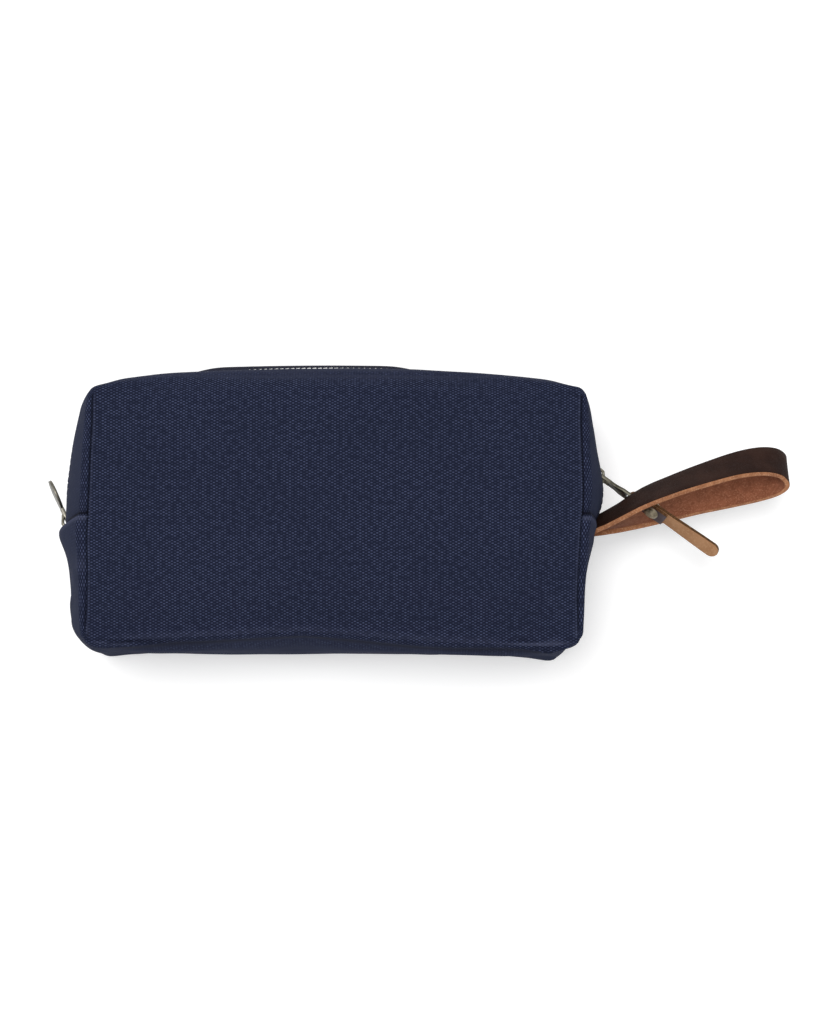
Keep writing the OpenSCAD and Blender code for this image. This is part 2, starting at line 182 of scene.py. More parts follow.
def buildDuckWeave():
    # yarn dots in columns, each column half a step out from the last; the vector is in metres
    group, inp, out = makeGroup("duckWeave", [
        ("Vector", "NodeSocketVector", None),
        ("Column Pitch", "NodeSocketFloat", 0.00133),
        ("Dot Pitch", "NodeSocketFloat", 0.0014),
        ("Wander", "NodeSocketFloat", 0.0002)],
        [("Height", "NodeSocketFloat"), ("Dots", "NodeSocketFloat"), ("Lint", "NodeSocketFloat")])
    wobble = addNode(group, "ShaderNodeTexNoise", {
        "Vector": inp.outputs["Vector"], "Scale": 260.0, "Detail": 2.0})
    shift = addNode(group, "ShaderNodeVectorMath", {
        0: wobble.outputs["Color"], 1: (0.5, 0.5, 0.5)}, operation="SUBTRACT").outputs[0]
    scaled = addNode(group, "ShaderNodeVectorMath", {0: shift}, operation="SCALE")
    group.links.new(inp.outputs["Wander"], scaled.inputs["Scale"])
    moved = addNode(group, "ShaderNodeVectorMath", {
        0: inp.outputs["Vector"], 1: scaled.outputs[0]}, operation="ADD").outputs[0]
    parts = addNode(group, "ShaderNodeSeparateXYZ", {0: moved})
    columns = maths(group, "DIVIDE", parts.outputs[0], inp.outputs["Column Pitch"])
    steps = maths(group, "DIVIDE", parts.outputs[1], inp.outputs["Dot Pitch"])
    across = maths(group, "MULTIPLY", columns, math.pi)
    along = maths(group, "MULTIPLY", steps, 2 * math.pi)
    wave = maths(group, "MULTIPLY", maths(group, "COSINE", across), maths(group, "COSINE", along))
    grain = noise(group, inp.outputs["Vector"], 900.0, 2.0, 0.6)
    patch = noise(group, inp.outputs["Vector"], 420.0, 1.0, 0.5)
    dots = maths(group, "MULTIPLY", ramp(group, wave, -0.1, 0.95),
                 ramp(group, patch, 0.32, 0.68, 0.35, 1.25))
    height = maths(group, "ADD", maths(group, "MULTIPLY", wave, 0.5), maths(group, "MULTIPLY", grain, 0.45))
    lint = ramp(group, noise(group, inp.outputs["Vector"], 2200.0, 1.0, 0.7), 0.70, 0.80)
    group.links.new(height, out.inputs["Height"])
    group.links.new(dots, out.inputs["Dots"])
    group.links.new(lint, out.inputs["Lint"])
    return group


def buildWear():
    # soft blotches and fine scratches on rubbed surfaces
    group, inp, out = makeGroup("surfaceWear", [
        ("Vector", "NodeSocketVector", None),
        ("Patch Scale", "NodeSocketFloat", 180.0),
        ("Grain Scale", "NodeSocketFloat", 1800.0)],
        [("Patches", "NodeSocketFloat"), ("Grain", "NodeSocketFloat"), ("Scratches", "NodeSocketFloat")])
    patches = addNode(group, "ShaderNodeTexNoise", {
        "Vector": inp.outputs["Vector"], "Scale": inp.outputs["Patch Scale"], "Detail": 4.0})
    grain = addNode(group, "ShaderNodeTexNoise", {
        "Vector": inp.outputs["Vector"], "Scale": inp.outputs["Grain Scale"],
        "Detail": 3.0, "Roughness": 0.65})
    stretched = addNode(group, "ShaderNodeMapping", {
        "Vector": inp.outputs["Vector"], "Rotation": (0.3, 0.2, 0.6), "Scale": (1, 14, 1)})
    lines = noise(group, stretched.outputs[0], 260.0, 2.0, 0.6)
    group.links.new(patches.outputs["Fac"], out.inputs["Patches"])
    group.links.new(grain.outputs["Fac"], out.inputs["Grain"])
    group.links.new(ramp(group, lines, 0.60, 0.72), out.inputs["Scratches"])
    return group


duckWeave = buildDuckWeave()
surfaceWear = buildWear()


def newMaterial(name):
    material = bpy.data.materials.new(name)
    material.use_nodes = True
    tree = material.node_tree
    return material, tree, tree.nodes["Principled BSDF"]


def useGroup(tree, group, vector, **values):
    node = addNode(tree, "ShaderNodeGroup", node_tree=group)
    tree.links.new(vector, node.inputs["Vector"])
    for key, value in values.items():
        node.inputs[key.replace("_", " ")].default_value = value
    return node


def objectVector(tree):
    return addNode(tree, "ShaderNodeTexCoord").outputs["Object"]


def bump(tree, height, strength, distance):
    return addNode(tree, "ShaderNodeBump", {
        "Height": height, "Strength": strength, "Distance": distance}).outputs[0]


canvasLook = {
    "gap": srgb(25, 29, 46),
    "yarn": srgb(68, 75, 102),
    "worn": srgb(74, 79, 102),
    "meanDots": 0.19,
    # painted shade colour for creases and cracks, then painted highlight colour for ridges (partly rubbed
    # cloth)
    "paintedCreaseShade": srgb(13, 14, 24),
    "ridge": srgb(78, 82, 104),
    "columnPitch": 0.00133,
    "dotPitch": 0.00140,
    "wander": 0.00034,
    "bumpHeight": 0.00028,
}


def canvasMaterial(name, look):
    material, tree, shader = newMaterial(name)
    cloth = addNode(tree, "ShaderNodeUVMap", uv_map="weave").outputs[0]
    space = objectVector(tree)
    weave = useGroup(tree, duckWeave, cloth, Column_Pitch=look["columnPitch"],
                     Dot_Pitch=look["dotPitch"], Wander=look["wander"])
    mottle = ramp(tree, noise(tree, space, 28.0, 4.0, 0.6), 0.3, 0.7, 0.86, 1.14)
    # seen aslant, the yarns hide the gaps between them
    facing = addNode(tree, "ShaderNodeLayerWeight", {"Blend": 0.5}).outputs["Facing"]
    slant = ramp(tree, facing, 0.35, 0.75, 0.0, 0.85)
    yarns = addNode(tree, "ShaderNodeMix", {
        0: slant, 2: weave.outputs["Dots"], 3: look["meanDots"]}).outputs[0]
    lit = maths(tree, "MULTIPLY", yarns, mottle, clamp=True)
    base = mixColour(tree, lit, look["gap"], look["yarn"])
    base = mixColour(tree, maths(tree, "MULTIPLY", weave.outputs["Lint"], 0.35), base, look["worn"])
    # painted light: above 0 the cloth goes towards the ridge colour (painted highlight, partly rubbed
    # cloth), below 0 towards the crease colour (painted shade)
    wearAndPaintedLight = addNode(tree, "ShaderNodeAttribute", attribute_name="wearAndPaintedLight").outputs["Fac"]
    base = mixColour(tree, maths(tree, "MULTIPLY", wearAndPaintedLight, 1.0, clamp=True), base, look["ridge"])
    base = mixColour(tree, maths(tree, "MULTIPLY", wearAndPaintedLight, -1.0, clamp=True), base, look["paintedCreaseShade"])
    tree.links.new(base, shader.inputs["Base Color"])
    shader.inputs["Roughness"].default_value = 0.95
    shader.inputs["Specular IOR Level"].default_value = 0.05
    shader.inputs["Sheen Weight"].default_value = 0.012
    shader.inputs["Sheen Roughness"].default_value = 0.5
    shader.inputs["Sheen Tint"].default_value = (0.62, 0.66, 0.85, 1)
    tree.links.new(bump(tree, weave.outputs["Height"], 0.8, look["bumpHeight"]), shader.inputs["Normal"])
    return material


def twillMaterial(name, dark, light, pitch, roughness=0.9):
    # fine ribbed cloth on the piece's own coordinates
    material, tree, shader = newMaterial(name)
    space = objectVector(tree)
    weave = useGroup(tree, duckWeave, space, Column_Pitch=pitch, Dot_Pitch=pitch * 1.3, Wander=pitch * 0.2)
    mottle = noise(tree, space, 60.0, 3.0)
    shade = maths(tree, "ADD", maths(tree, "MULTIPLY", weave.outputs["Dots"], 0.7),
                  maths(tree, "MULTIPLY", mottle, 0.3))
    tree.links.new(mixColour(tree, shade, dark, light), shader.inputs["Base Color"])
    shader.inputs["Roughness"].default_value = roughness
    shader.inputs["Specular IOR Level"].default_value = 0.2
    tree.links.new(bump(tree, weave.outputs["Height"], 0.6, pitch * 0.2), shader.inputs["Normal"])
    return material


def tapeMaterial(name, dark, light):
    material, tree, shader = newMaterial(name)
    cloth = addNode(tree, "ShaderNodeUVMap", uv_map="weave").outputs[0]
    parts = addNode(tree, "ShaderNodeSeparateXYZ", {0: cloth})
    ribAngle = maths(tree, "MULTIPLY", parts.outputs[1], math.pi / 0.0011)
    ribs = maths(tree, "ABSOLUTE", maths(tree, "SINE", ribAngle))
    slant = maths(tree, "ADD", maths(tree, "MULTIPLY", parts.outputs[0], 2 * math.pi / 0.0009),
                  maths(tree, "MULTIPLY", ribs, 2.0))
    threads = maths(tree, "ADD", maths(tree, "MULTIPLY", maths(tree, "SINE", slant), 0.3),
                    maths(tree, "MULTIPLY", ribs, 0.7))
    lint = noise(tree, cloth, 1500.0, 2.0, 0.6)
    shade = maths(tree, "MULTIPLY", maths(tree, "ADD", threads, 0.2),
                  ramp(tree, lint, 0.3, 0.7, 0.4, 1.0), clamp=True)
    tree.links.new(mixColour(tree, shade, dark, light), shader.inputs["Base Color"])
    shader.inputs["Roughness"].default_value = 0.85
    shader.inputs["Specular IOR Level"].default_value = 0.2
    tree.links.new(bump(tree, threads, 0.6, 0.00015), shader.inputs["Normal"])
    return material


def metalMaterial(name, dark, bright, rubAndHighlight, patchScale=260.0, shine=(0.28, 0.5)):
    material, tree, shader = newMaterial(name)
    space = objectVector(tree)
    wearAndPaintedLight = useGroup(tree, surfaceWear, space, Patch_Scale=patchScale, Grain_Scale=2600.0)
    tone = mixColour(tree, ramp(tree, wearAndPaintedLight.outputs["Patches"], 0.36, 0.66), dark, bright)
    tone = mixColour(tree, maths(tree, "MULTIPLY", wearAndPaintedLight.outputs["Scratches"], 0.5), tone, rubAndHighlight)
    edges = addNode(tree, "ShaderNodeNewGeometry").outputs["Pointiness"]
    tone = mixColour(tree, ramp(tree, edges, 0.51, 0.58, 0.0, 0.7), tone, rubAndHighlight)
    tree.links.new(tone, shader.inputs["Base Color"])
    shader.inputs["Metallic"].default_value = 0.9
    tree.links.new(ramp(tree, wearAndPaintedLight.outputs["Grain"], 0.3, 0.7, *shine), shader.inputs["Roughness"])
    tree.links.new(bump(tree, wearAndPaintedLight.outputs["Grain"], 0.25, 0.00008), shader.inputs["Normal"])
    return material


def leatherGrain(name, deep, high, shineLow=0.36, shineHigh=0.6, bumpStrength=0.5):
    material, tree, shader = newMaterial(name)
    space = objectVector(tree)
    wearAndPaintedLight = useGroup(tree, surfaceWear, space, Patch_Scale=70.0, Grain_Scale=1500.0)
    pores = addNode(tree, "ShaderNodeTexVoronoi", {"Vector": space, "Scale": 1300.0},
                    feature="DISTANCE_TO_EDGE")
    creases = ramp(tree, pores.outputs["Distance"], 0.0, 0.09)
    tone = mixColour(tree, ramp(tree, wearAndPaintedLight.outputs["Patches"], 0.3, 0.7), deep, high)
    tone = mixColour(tree, maths(tree, "MULTIPLY", wearAndPaintedLight.outputs["Scratches"], 0.22), tone, high)
    tree.links.new(tone, shader.inputs["Base Color"])
    shine = ramp(tree, wearAndPaintedLight.outputs["Grain"], 0.3, 0.7, shineLow, shineHigh)
    tree.links.new(shine, shader.inputs["Roughness"])
    shader.inputs["Specular IOR Level"].default_value = 0.07
    shader.inputs["Coat Weight"].default_value = 0.006
    shader.inputs["Coat Roughness"].default_value = 0.4
    height = maths(tree, "ADD", maths(tree, "MULTIPLY", creases, 0.5),
                   maths(tree, "MULTIPLY", wearAndPaintedLight.outputs["Grain"], 0.5))
    tree.links.new(bump(tree, height, bumpStrength, 0.00009), shader.inputs["Normal"])
    return material


def leatherFlesh(name, deep, mid, high, fibreScale=700.0):
    # the fuzzy inner side and the raw cut edge
    material, tree, shader = newMaterial(name)
    space = objectVector(tree)
    fibres = noise(tree, space, fibreScale, 5.0, 0.72)
    tufts = noise(tree, space, fibreScale * 0.22, 3.0, 0.6)
    tone = mixColour(tree, ramp(tree, tufts, 0.32, 0.68), deep, mid)
    tone = mixColour(tree, ramp(tree, fibres, 0.48, 0.74), tone, high)
    tree.links.new(tone, shader.inputs["Base Color"])
    shader.inputs["Roughness"].default_value = 0.95
    shader.inputs["Specular IOR Level"].default_value = 0.12
    shader.inputs["Sheen Weight"].default_value = 0.12
    shader.inputs["Sheen Tint"].default_value = (1.0, 0.75, 0.6, 1)
    tree.links.new(bump(tree, maths(tree, "ADD", fibres, tufts), 0.7, 0.00022), shader.inputs["Normal"])
    return material


looks = {
    "canvas": canvasMaterial("navyDuckCanvas", canvasLook),
    "lining": twillMaterial("liningTwill", srgb(120, 112, 92), srgb(172, 163, 140), 0.0007),
    "binding": twillMaterial("bindingTape", srgb(30, 32, 46), srgb(62, 66, 86), 0.0006),
    "tape": tapeMaterial("zipTapeWeave", srgb(12, 13, 21), srgb(44, 46, 64)),
    "teeth": metalMaterial("zipTeethMetal", srgb(92, 90, 102), srgb(150, 148, 164),
                           srgb(190, 188, 200), 900.0),
    "thread": twillMaterial("navyThread", srgb(26, 29, 46), srgb(70, 76, 104), 0.0003, 0.7),
    "slider": metalMaterial("sliderBrass", srgb(42, 39, 31), srgb(94, 91, 80), srgb(140, 136, 122)),
    "pull": metalMaterial("pullBrass", srgb(54, 51, 42), srgb(102, 100, 92), srgb(134, 130, 120), 200.0),
    "rivet": metalMaterial("rivetBrass", srgb(96, 86, 68), srgb(158, 147, 124), srgb(226, 216, 194), 300.0),
    "strapGrain": leatherGrain("strapWaxedGrain", srgb(34, 18, 13), srgb(48, 29, 22), 0.55, 0.78),
    "strapFlesh": leatherFlesh("strapFleshSide", srgb(124, 75, 53), srgb(140, 87, 63),
                               srgb(176, 122, 94), 1100.0),
    "strapEdge": leatherFlesh("strapRawEdge", srgb(138, 90, 62), srgb(166, 114, 80),
                              srgb(200, 154, 122), 1100.0),
    # the tab's grain side is coloured grey-brown, a painted sheen standing for the reflection on dark brown
    # waxed leather
    "tabGrainSheen": leatherGrain("tabGrainPaintedSheen", srgb(56, 46, 46), srgb(92, 82, 86), 0.4, 0.6),
    "tabFlesh": leatherFlesh("tabFleshSide", srgb(156, 115, 82), srgb(168, 127, 93), srgb(182, 144, 110)),
    "tabEdge": leatherFlesh("tabCutEdge", srgb(66, 44, 26), srgb(96, 68, 42), srgb(136, 100, 64), 1100.0),
}
print("materials ready:", len(looks))


# ---- mesh helpers ----

def linkPiece(name, mesh, *materials):
    piece = bpy.data.objects.new(name, mesh)
    scene.collection.objects.link(piece)
    for material in materials:
        mesh.materials.append(material)
    mesh.shade_smooth()
    return piece


def meshPiece(name, points, faces, materials, faceMaterial=None, faceUv=None, wearAndPaintedLight=None):
    mesh = bpy.data.meshes.new(name)
    mesh.from_pydata([tuple(float(c) * mm for c in p) for p in points], [], faces)
    piece = linkPiece(name, mesh, *materials)
    if faceMaterial is not None:
        mesh.polygons.foreach_set("material_index", faceMaterial)
    if faceUv is not None:
        layer = mesh.uv_layers.new(name="weave")
        layer.data.foreach_set("uv", np.array(faceUv, float).reshape(-1) * mm)
    if wearAndPaintedLight is not None:
        # per-point painted highlight and painted shade for the canvas colour, partly rubbed cloth
        mesh.attributes.new("wearAndPaintedLight", "FLOAT", "POINT").data.foreach_set("value", wearAndPaintedLight)
    mesh.validate()
    mesh.update()
    return piece


def finishMesh(piece):
    # applies what its modifiers make, so that the piece is one plain mesh
    graph = bpy.context.evaluated_depsgraph_get()
    made = bpy.data.meshes.new_from_object(piece.evaluated_get(graph))
    piece.modifiers.clear()
    piece.data = made
    return piece


def smooth01(x):
    x = np.clip(x, 0, 1)
    return x * x * (3 - 2 * x)


# ---- the canvas body ----

bag = {  # millimetres
    "front": 97.0,  # height of the front panel's folds
    "crown": 4.5,
    "cornerDrop": 4.5,
    "middle": 50.0,
    "mouthHalf": 5.5,
    "mouthClose": 6.0,
    "canvas": 1.2,
    "liningGap": 2.8,
    "frontFold": (2.4, 3.0, 9.0, 3.0),  # fold radii of the bottom, right, top and left sides
    "cornerFold": 2.2,
    "backFold": 5.0,
    "seamAtMiddle": -7.5,
    "seamAtFolds": 0.6,
    "lip": 1.7,
    "tuck": 1.5,
    "topOpening": 3.0,  # further apart at the middle of the top
}
# bottom left, bottom right, top right and top left corners at the back, middle and front
bagCorners = np.array([
    [(-119.5, -72.0), (-125.6, -65.5), (-119, -59)],
    [(112, -74.4), (117.5, -66.5), (119.5, -59)],
    [(112, 59), (119.8, 60.8), (121, 60.4)],
    [(-118, 58), (-120.8, 61.6), (-116.6, 60.8)]], float)
bagBows = np.array([[-0.4, 0.2, 0], [4, 8.5, 1], [5, 7.4, 3.8], [4, 9, 1]], float)
bagSkews = (0, 0.75, 0, 0)  # the right end is fuller above its seam
bagRounding = np.array([3.5, 11, 3.5], float)
# how far the ends stand out from that shape at mid-depth, by height
endWave = {
    1: ((-70, 0), (-60, -0.5), (-50, -1.2), (-35, -2.3), (-23, -1.9), (-14, -0.7), (-8, -1.6),
        (-2, 0.8), (5, 2.4), (12, 2.6), (22, 0.9), (30, -0.6), (45, -1.4), (60, 0)),
    3: ((-70, 0), (-50, 0.3), (-38, -1.4), (-26, -1.6), (-19, -1.0), (-12, 1.2), (-8, 1.3),
        (-5, 0.2), (2, -0.5), (16, -0.4), (32, -0.2), (60, 0)),
}
# how far the bottom fold hangs below a straight line, from the left corner to the right one
foldWave = ((0, 0), (0.05, 3.9), (0.12, 2.9), (0.25, 1.5), (0.44, -0.4), (0.52, 0.5), (0.63, 2.3),
            (0.72, 3.9), (0.80, 4.9), (0.87, 5.3), (0.93, 5.8), (0.97, 2.6), (1, 0))
# the same for the edge the bag rests on, which sags either side of the middle
restWave = ((0, 0), (0.1, 1.4), (0.25, 1.4), (0.35, 0.4), (0.42, 0), (0.54, 0), (0.62, 0.9), (0.72, 1.7),
            (0.92, 1.6), (1, 0))
zipCorners = np.array([(-123, -64), (118, -67), (117, 62.5), (-116, 63.5)], float)
zipBows = (0, 8.5, 8.2, 7)


def through(values, w):
    back, mid, front = (np.asarray(v, float) for v in values)
    w = np.asarray(w, float)
    if back.ndim:
        w = w[..., None]
    return back * (1 - w) * (1 - 2 * w) + mid * 4 * w * (1 - w) + front * w * (2 * w - 1)


def outward(a, b):
    d = b - a
    d = d / np.linalg.norm(d, axis=-1, keepdims=True)
    return np.stack([d[..., 1], -d[..., 0]], -1)


def bowed(t, bow, skew):
    return bow * 4 * t * (1 - t) * (1 + skew * (2 * t - 1))


cornerShare = 0.035


def outlinePoint(corners, bows, radius, side, t, inset, skews=bagSkews):
    # a point of a rounded outline: side 0 to 3, t from the middle of one corner to the next
    a, b = corners[side], corners[(side + 1) % 4]
    before, after = corners[(side + 3) % 4], corners[(side + 2) % 4]

    def along(p, q, k, s):
        s = s[..., None]
        return p + (q - p) * s + outward(p, q) * (bowed(s, bows[k][..., None], skews[k]) - inset[..., None])

    length = np.linalg.norm(b - a, axis=-1)
    start = radius / length
    local = start + (1 - 2 * start) * (t - cornerShare) / (1 - 2 * cornerShare)
    middle = along(a, b, side, np.clip(local, 0, 1))
    last = along(before, a, (side + 3) % 4, 1 - radius / np.linalg.norm(a - before, axis=-1))
    first = along(a, b, side, start)
    turnA = a - (outward(a, b) + outward(before, a)) * inset[..., None]
    end = along(a, b, side, 1 - start)
    onward = along(b, after, (side + 1) % 4, radius / np.linalg.norm(after - b, axis=-1))
    turnB = b - (outward(a, b) + outward(b, after)) * inset[..., None]

    def bent(p, q, r, s):
        s = s[..., None]
        return p * (1 - s) ** 2 + q * 2 * s * (1 - s) + r * s * s

    nearA = bent(last, turnA, first, 0.5 + 0.5 * np.clip(t / cornerShare, 0, 1))
    nearB = bent(end, turnB, onward, 0.5 * np.clip((t - 1 + cornerShare) / cornerShare, 0, 1))
    rest = np.where((t > 1 - cornerShare)[..., None], nearB, middle)
    return np.where((t < cornerShare)[..., None], nearA, rest)


def bagOutline(side, t, w, inset):
    w = np.clip(w, 0, 1)
    corners = [through(c, w) for c in bagCorners]
    bows = [through(b, w) for b in bagBows]
    point = outlinePoint(corners, bows, through(bagRounding, w), side, t, inset)
    if side == 0:
        drop = np.interp(t, *zip(*foldWave)) * smooth01((w - 0.70) / 0.25)
        dent = 2.2 * np.exp(-((point[..., 0] + 6) / 42) ** 2) * smooth01((0.65 - w) / 0.3)
        sag = np.interp(t, *zip(*restWave)) * smooth01((0.65 - w) / 0.3)
        point = point + np.stack([drop * 0, dent - drop - sag], -1)
    if side in endWave:
        wave = np.interp(point[..., 1], *zip(*endWave[side])) * np.exp(-((w - 0.52) / 0.40) ** 4)
        point = point + np.stack([wave * (1 if side == 1 else -1), wave * 0], -1)
    return point


def seamHeight(z):
    # the end seams rise from the middle of the depth to the front and back folds
    share = np.abs(z - bag["middle"]) / 42
    return bag["seamAtMiddle"] + (bag["seamAtFolds"] - bag["seamAtMiddle"]) * np.clip(share, 0, 1) ** 1.2


def topWindow(x):
    # 1 over the middle of the top, where the zip shows
    return smooth01((x + 84) / 30) * smooth01((55 - x) / 30)


def foldRadius(side, t, front):
    if not front:
        return np.full_like(t, bag["backFold"])
    full = bag["frontFold"][side]
    return bag["cornerFold"] + (full - bag["cornerFold"]) * smooth01(np.minimum(t, 1 - t) / 0.16)


def foldHeight(side, t, front):
    if not front:
        return np.zeros_like(t)
    near = np.abs(2 * t - 1)
    droop = near ** 4 if side in (0, 2) else 1 - 0.3 * (1 - near ** 2)
    return bag["front"] - bag["cornerDrop"] * droop


mainShare = 0.8  # rows up to here are on the wall, and the rest go round the fold


def wallGrid(side, t, rows, front, gap):
    # points of one side's wall, from the mouth's edge to the front or back panel
    tt = np.repeat(np.asarray(t, float)[:, None], len(rows), 1)
    pp = np.repeat(np.asarray(rows, float)[None, :], len(t), 0)
    radius, top = foldRadius(side, tt, front), foldHeight(side, tt, front)
    sign = 1 if front else -1
    turn = np.clip((pp - mainShare) / (1 - mainShare), 0, 1) * math.pi / 2
    inset = radius * (1 - np.cos(turn))
    wallEnd = top - sign * radius
    ring = bagOutline(side, tt, np.full_like(tt, 0.5), tt * 0)
    open_ = gap * smooth01((ring[..., 1] - bag["seamAtMiddle"] + 2) / bag["mouthClose"]) if gap else 0
    if gap and side == 2 and not front:
        open_ = open_ + bag["topOpening"] * topWindow(ring[..., 0])
    rim = bag["middle"] + sign * open_
    z = np.where(pp <= mainShare, rim + (wallEnd - rim) * pp / mainShare,
                 wallEnd + sign * radius * np.sin(turn))
    if side in (1, 3):  # the rows of the ends run along their seam
        shift = (seamHeight(z) - bag["seamAtMiddle"] - 3) / 128
        shift = shift * smooth01(tt / 0.3) * smooth01((1 - tt) / 0.3)
        tt = tt + shift * (1 if side == 1 else -1)
    pos = bagOutline(side, tt, z / bag["front"], inset)
    return np.concatenate([pos, z[..., None]], -1)


def remapRows(t, seamShare, target):
    # end rows shift so that one of them lies on the end seam
    t = np.asarray(t, float)
    return np.where(t < seamShare, t * target / seamShare, 1 - (1 - t) * (1 - target) / (1 - seamShare))


def coonsGrid(bottom, right, top, left):
    # a panel between four edges; bottom and top run left to right, left and right run upwards
    u = edgeShare(bottom)[:, None, None] * 0.5 + edgeShare(top)[:, None, None] * 0.5
    v = edgeShare(left)[None, :, None] * 0.5 + edgeShare(right)[None, :, None] * 0.5
    ruled = (1 - v) * bottom[:, None] + v * top[:, None] + (1 - u) * left[None] + u * right[None]
    corner = ((1 - u) * (1 - v) * bottom[0] + u * (1 - v) * bottom[-1]
              + (1 - u) * v * top[0] + u * v * top[-1])
    return ruled - corner, u[..., 0], v[..., 0]


def edgeShare(edge):
    run = np.concatenate([[0], np.cumsum(np.linalg.norm(np.diff(edge, axis=0), axis=1))])
    return run / run[-1]


def halfShell(longT, endT, rows, front, gap):
    # walls of the four sides and the panel between them, as grids of points
    sides = [longT, endT, longT, [1 - t for t in reversed(endT)]]
    walls = [wallGrid(k, sides[k], rows, front, gap) for k in range(4)]
    bottom, right, top, left = walls[0][:, -1], walls[1][:, -1], walls[2][::-1, -1], walls[3][::-1, -1]
    panel, u, v = coonsGrid(bottom, right, top, left)
    if front:
        lift = bag["crown"] * (1 - np.abs(2 * u - 1) ** 2.6) * (1 - np.abs(2 * v - 1) ** 2.2)
        panel[..., 2] += lift
    return walls, panel


def mergeHalf(walls, panel):
    # one list of points for a half shell, with the corner columns and the panel's edges shared
    points, index = [], {}
    for k, wall in enumerate(walls):
        n, m = wall.shape[:2]
        for i in range(n - 1):
            for j in range(m):
                index[k, i, j] = len(points)
                points.append(wall[i, j])
        for j in range(m):
            index[k, n - 1, j] = (k + 1) % 4, 0, j
    resolve = lambda key: index[index[key]] if isinstance(index[key], tuple) else index[key]
    nu, nv = panel.shape[:2]
    rows = walls[0].shape[1]
    grid = np.zeros((nu, nv), int)
    for i in range(nu):
        for j in range(nv):
            if j == 0:
                grid[i, j] = resolve((0, i, rows - 1))
            elif i == nu - 1:
                grid[i, j] = resolve((1, j, rows - 1))
            elif j == nv - 1:
                grid[i, j] = resolve((2, nu - 1 - i, rows - 1))
            elif i == 0:
                grid[i, j] = resolve((3, nv - 1 - j, rows - 1))
            else:
                grid[i, j] = len(points)
                points.append(panel[i, j])
    tubes = [np.array([[resolve((k, i, j)) for j in range(rows)] for i in range(w.shape[0])])
             for k, w in enumerate(walls)]
    return np.array(points), tubes, grid


def gridFaces(grid, flip=False):
    faces = []
    for i in range(grid.shape[0] - 1):
        for j in range(grid.shape[1] - 1):
            face = (grid[i, j], grid[i + 1, j], grid[i + 1, j + 1], grid[i, j + 1])
            faces.append(tuple(int(v) for v in (face[::-1] if flip else face)))
    return faces


# rows and columns crowd together at the seams, the folds and the mouth
nearEdge = (0, 0.0014, 0.0028, 0.0042, 0.006, 0.0085, 0.012, 0.017, 0.025, cornerShare,
            0.047, 0.062, 0.08, 0.105, 0.135)
longT = (list(nearEdge) + [0.135 + 0.73 * k / 26 for k in range(1, 26)]
         + [1 - t for t in reversed(nearEdge)])
seamShare = 0.46
endT = ([0, 0.009, 0.018, 0.027, cornerShare, 0.05, 0.07, 0.095, 0.125, 0.16, 0.20, 0.245, 0.29, 0.335]
        + [0.375, 0.405, 0.425, 0.437, 0.445, 0.451, 0.456, seamShare, 0.4635, 0.468, 0.475, 0.486, 0.505]
        + [0.535, 0.575, 0.62, 0.665]
        + [0.71, 0.755, 0.80, 0.84, 0.875, 0.905, 0.93, 0.95, 1 - cornerShare, 0.973, 0.982, 0.991, 1])
wallRows = ([0, 0.012, 0.03, 0.055, 0.09] + [0.09 + 0.61 * k / 12 for k in range(1, 13)]
            + [0.725, 0.75, 0.77, 0.785, mainShare] + [mainShare + 0.2 * k / 8 for k in range(1, 9)])
coarseLong = [0, 0.035, 0.08, 0.15] + [0.15 + 0.7 * k / 16 for k in range(1, 16)] + [0.85, 0.92, 0.965, 1]
coarseEnd = [0, 0.035, 0.12, 0.22, 0.34, seamShare, 0.58, 0.70, 0.82, 0.92, 0.965, 1]
coarseRows = [0, 0.10, 0.22, 0.36, 0.50, 0.64, mainShare, 0.90, 1]

simulation = {
    "frames": 18,
    "pressure": 0.9,
    "grow": 0.010,  # cloth cut a little larger than the form, so that it creases
    "tension": 12,
    "bending": 6,
    "cap": 3.4,  # millimetres
    "share": 0.75,
}


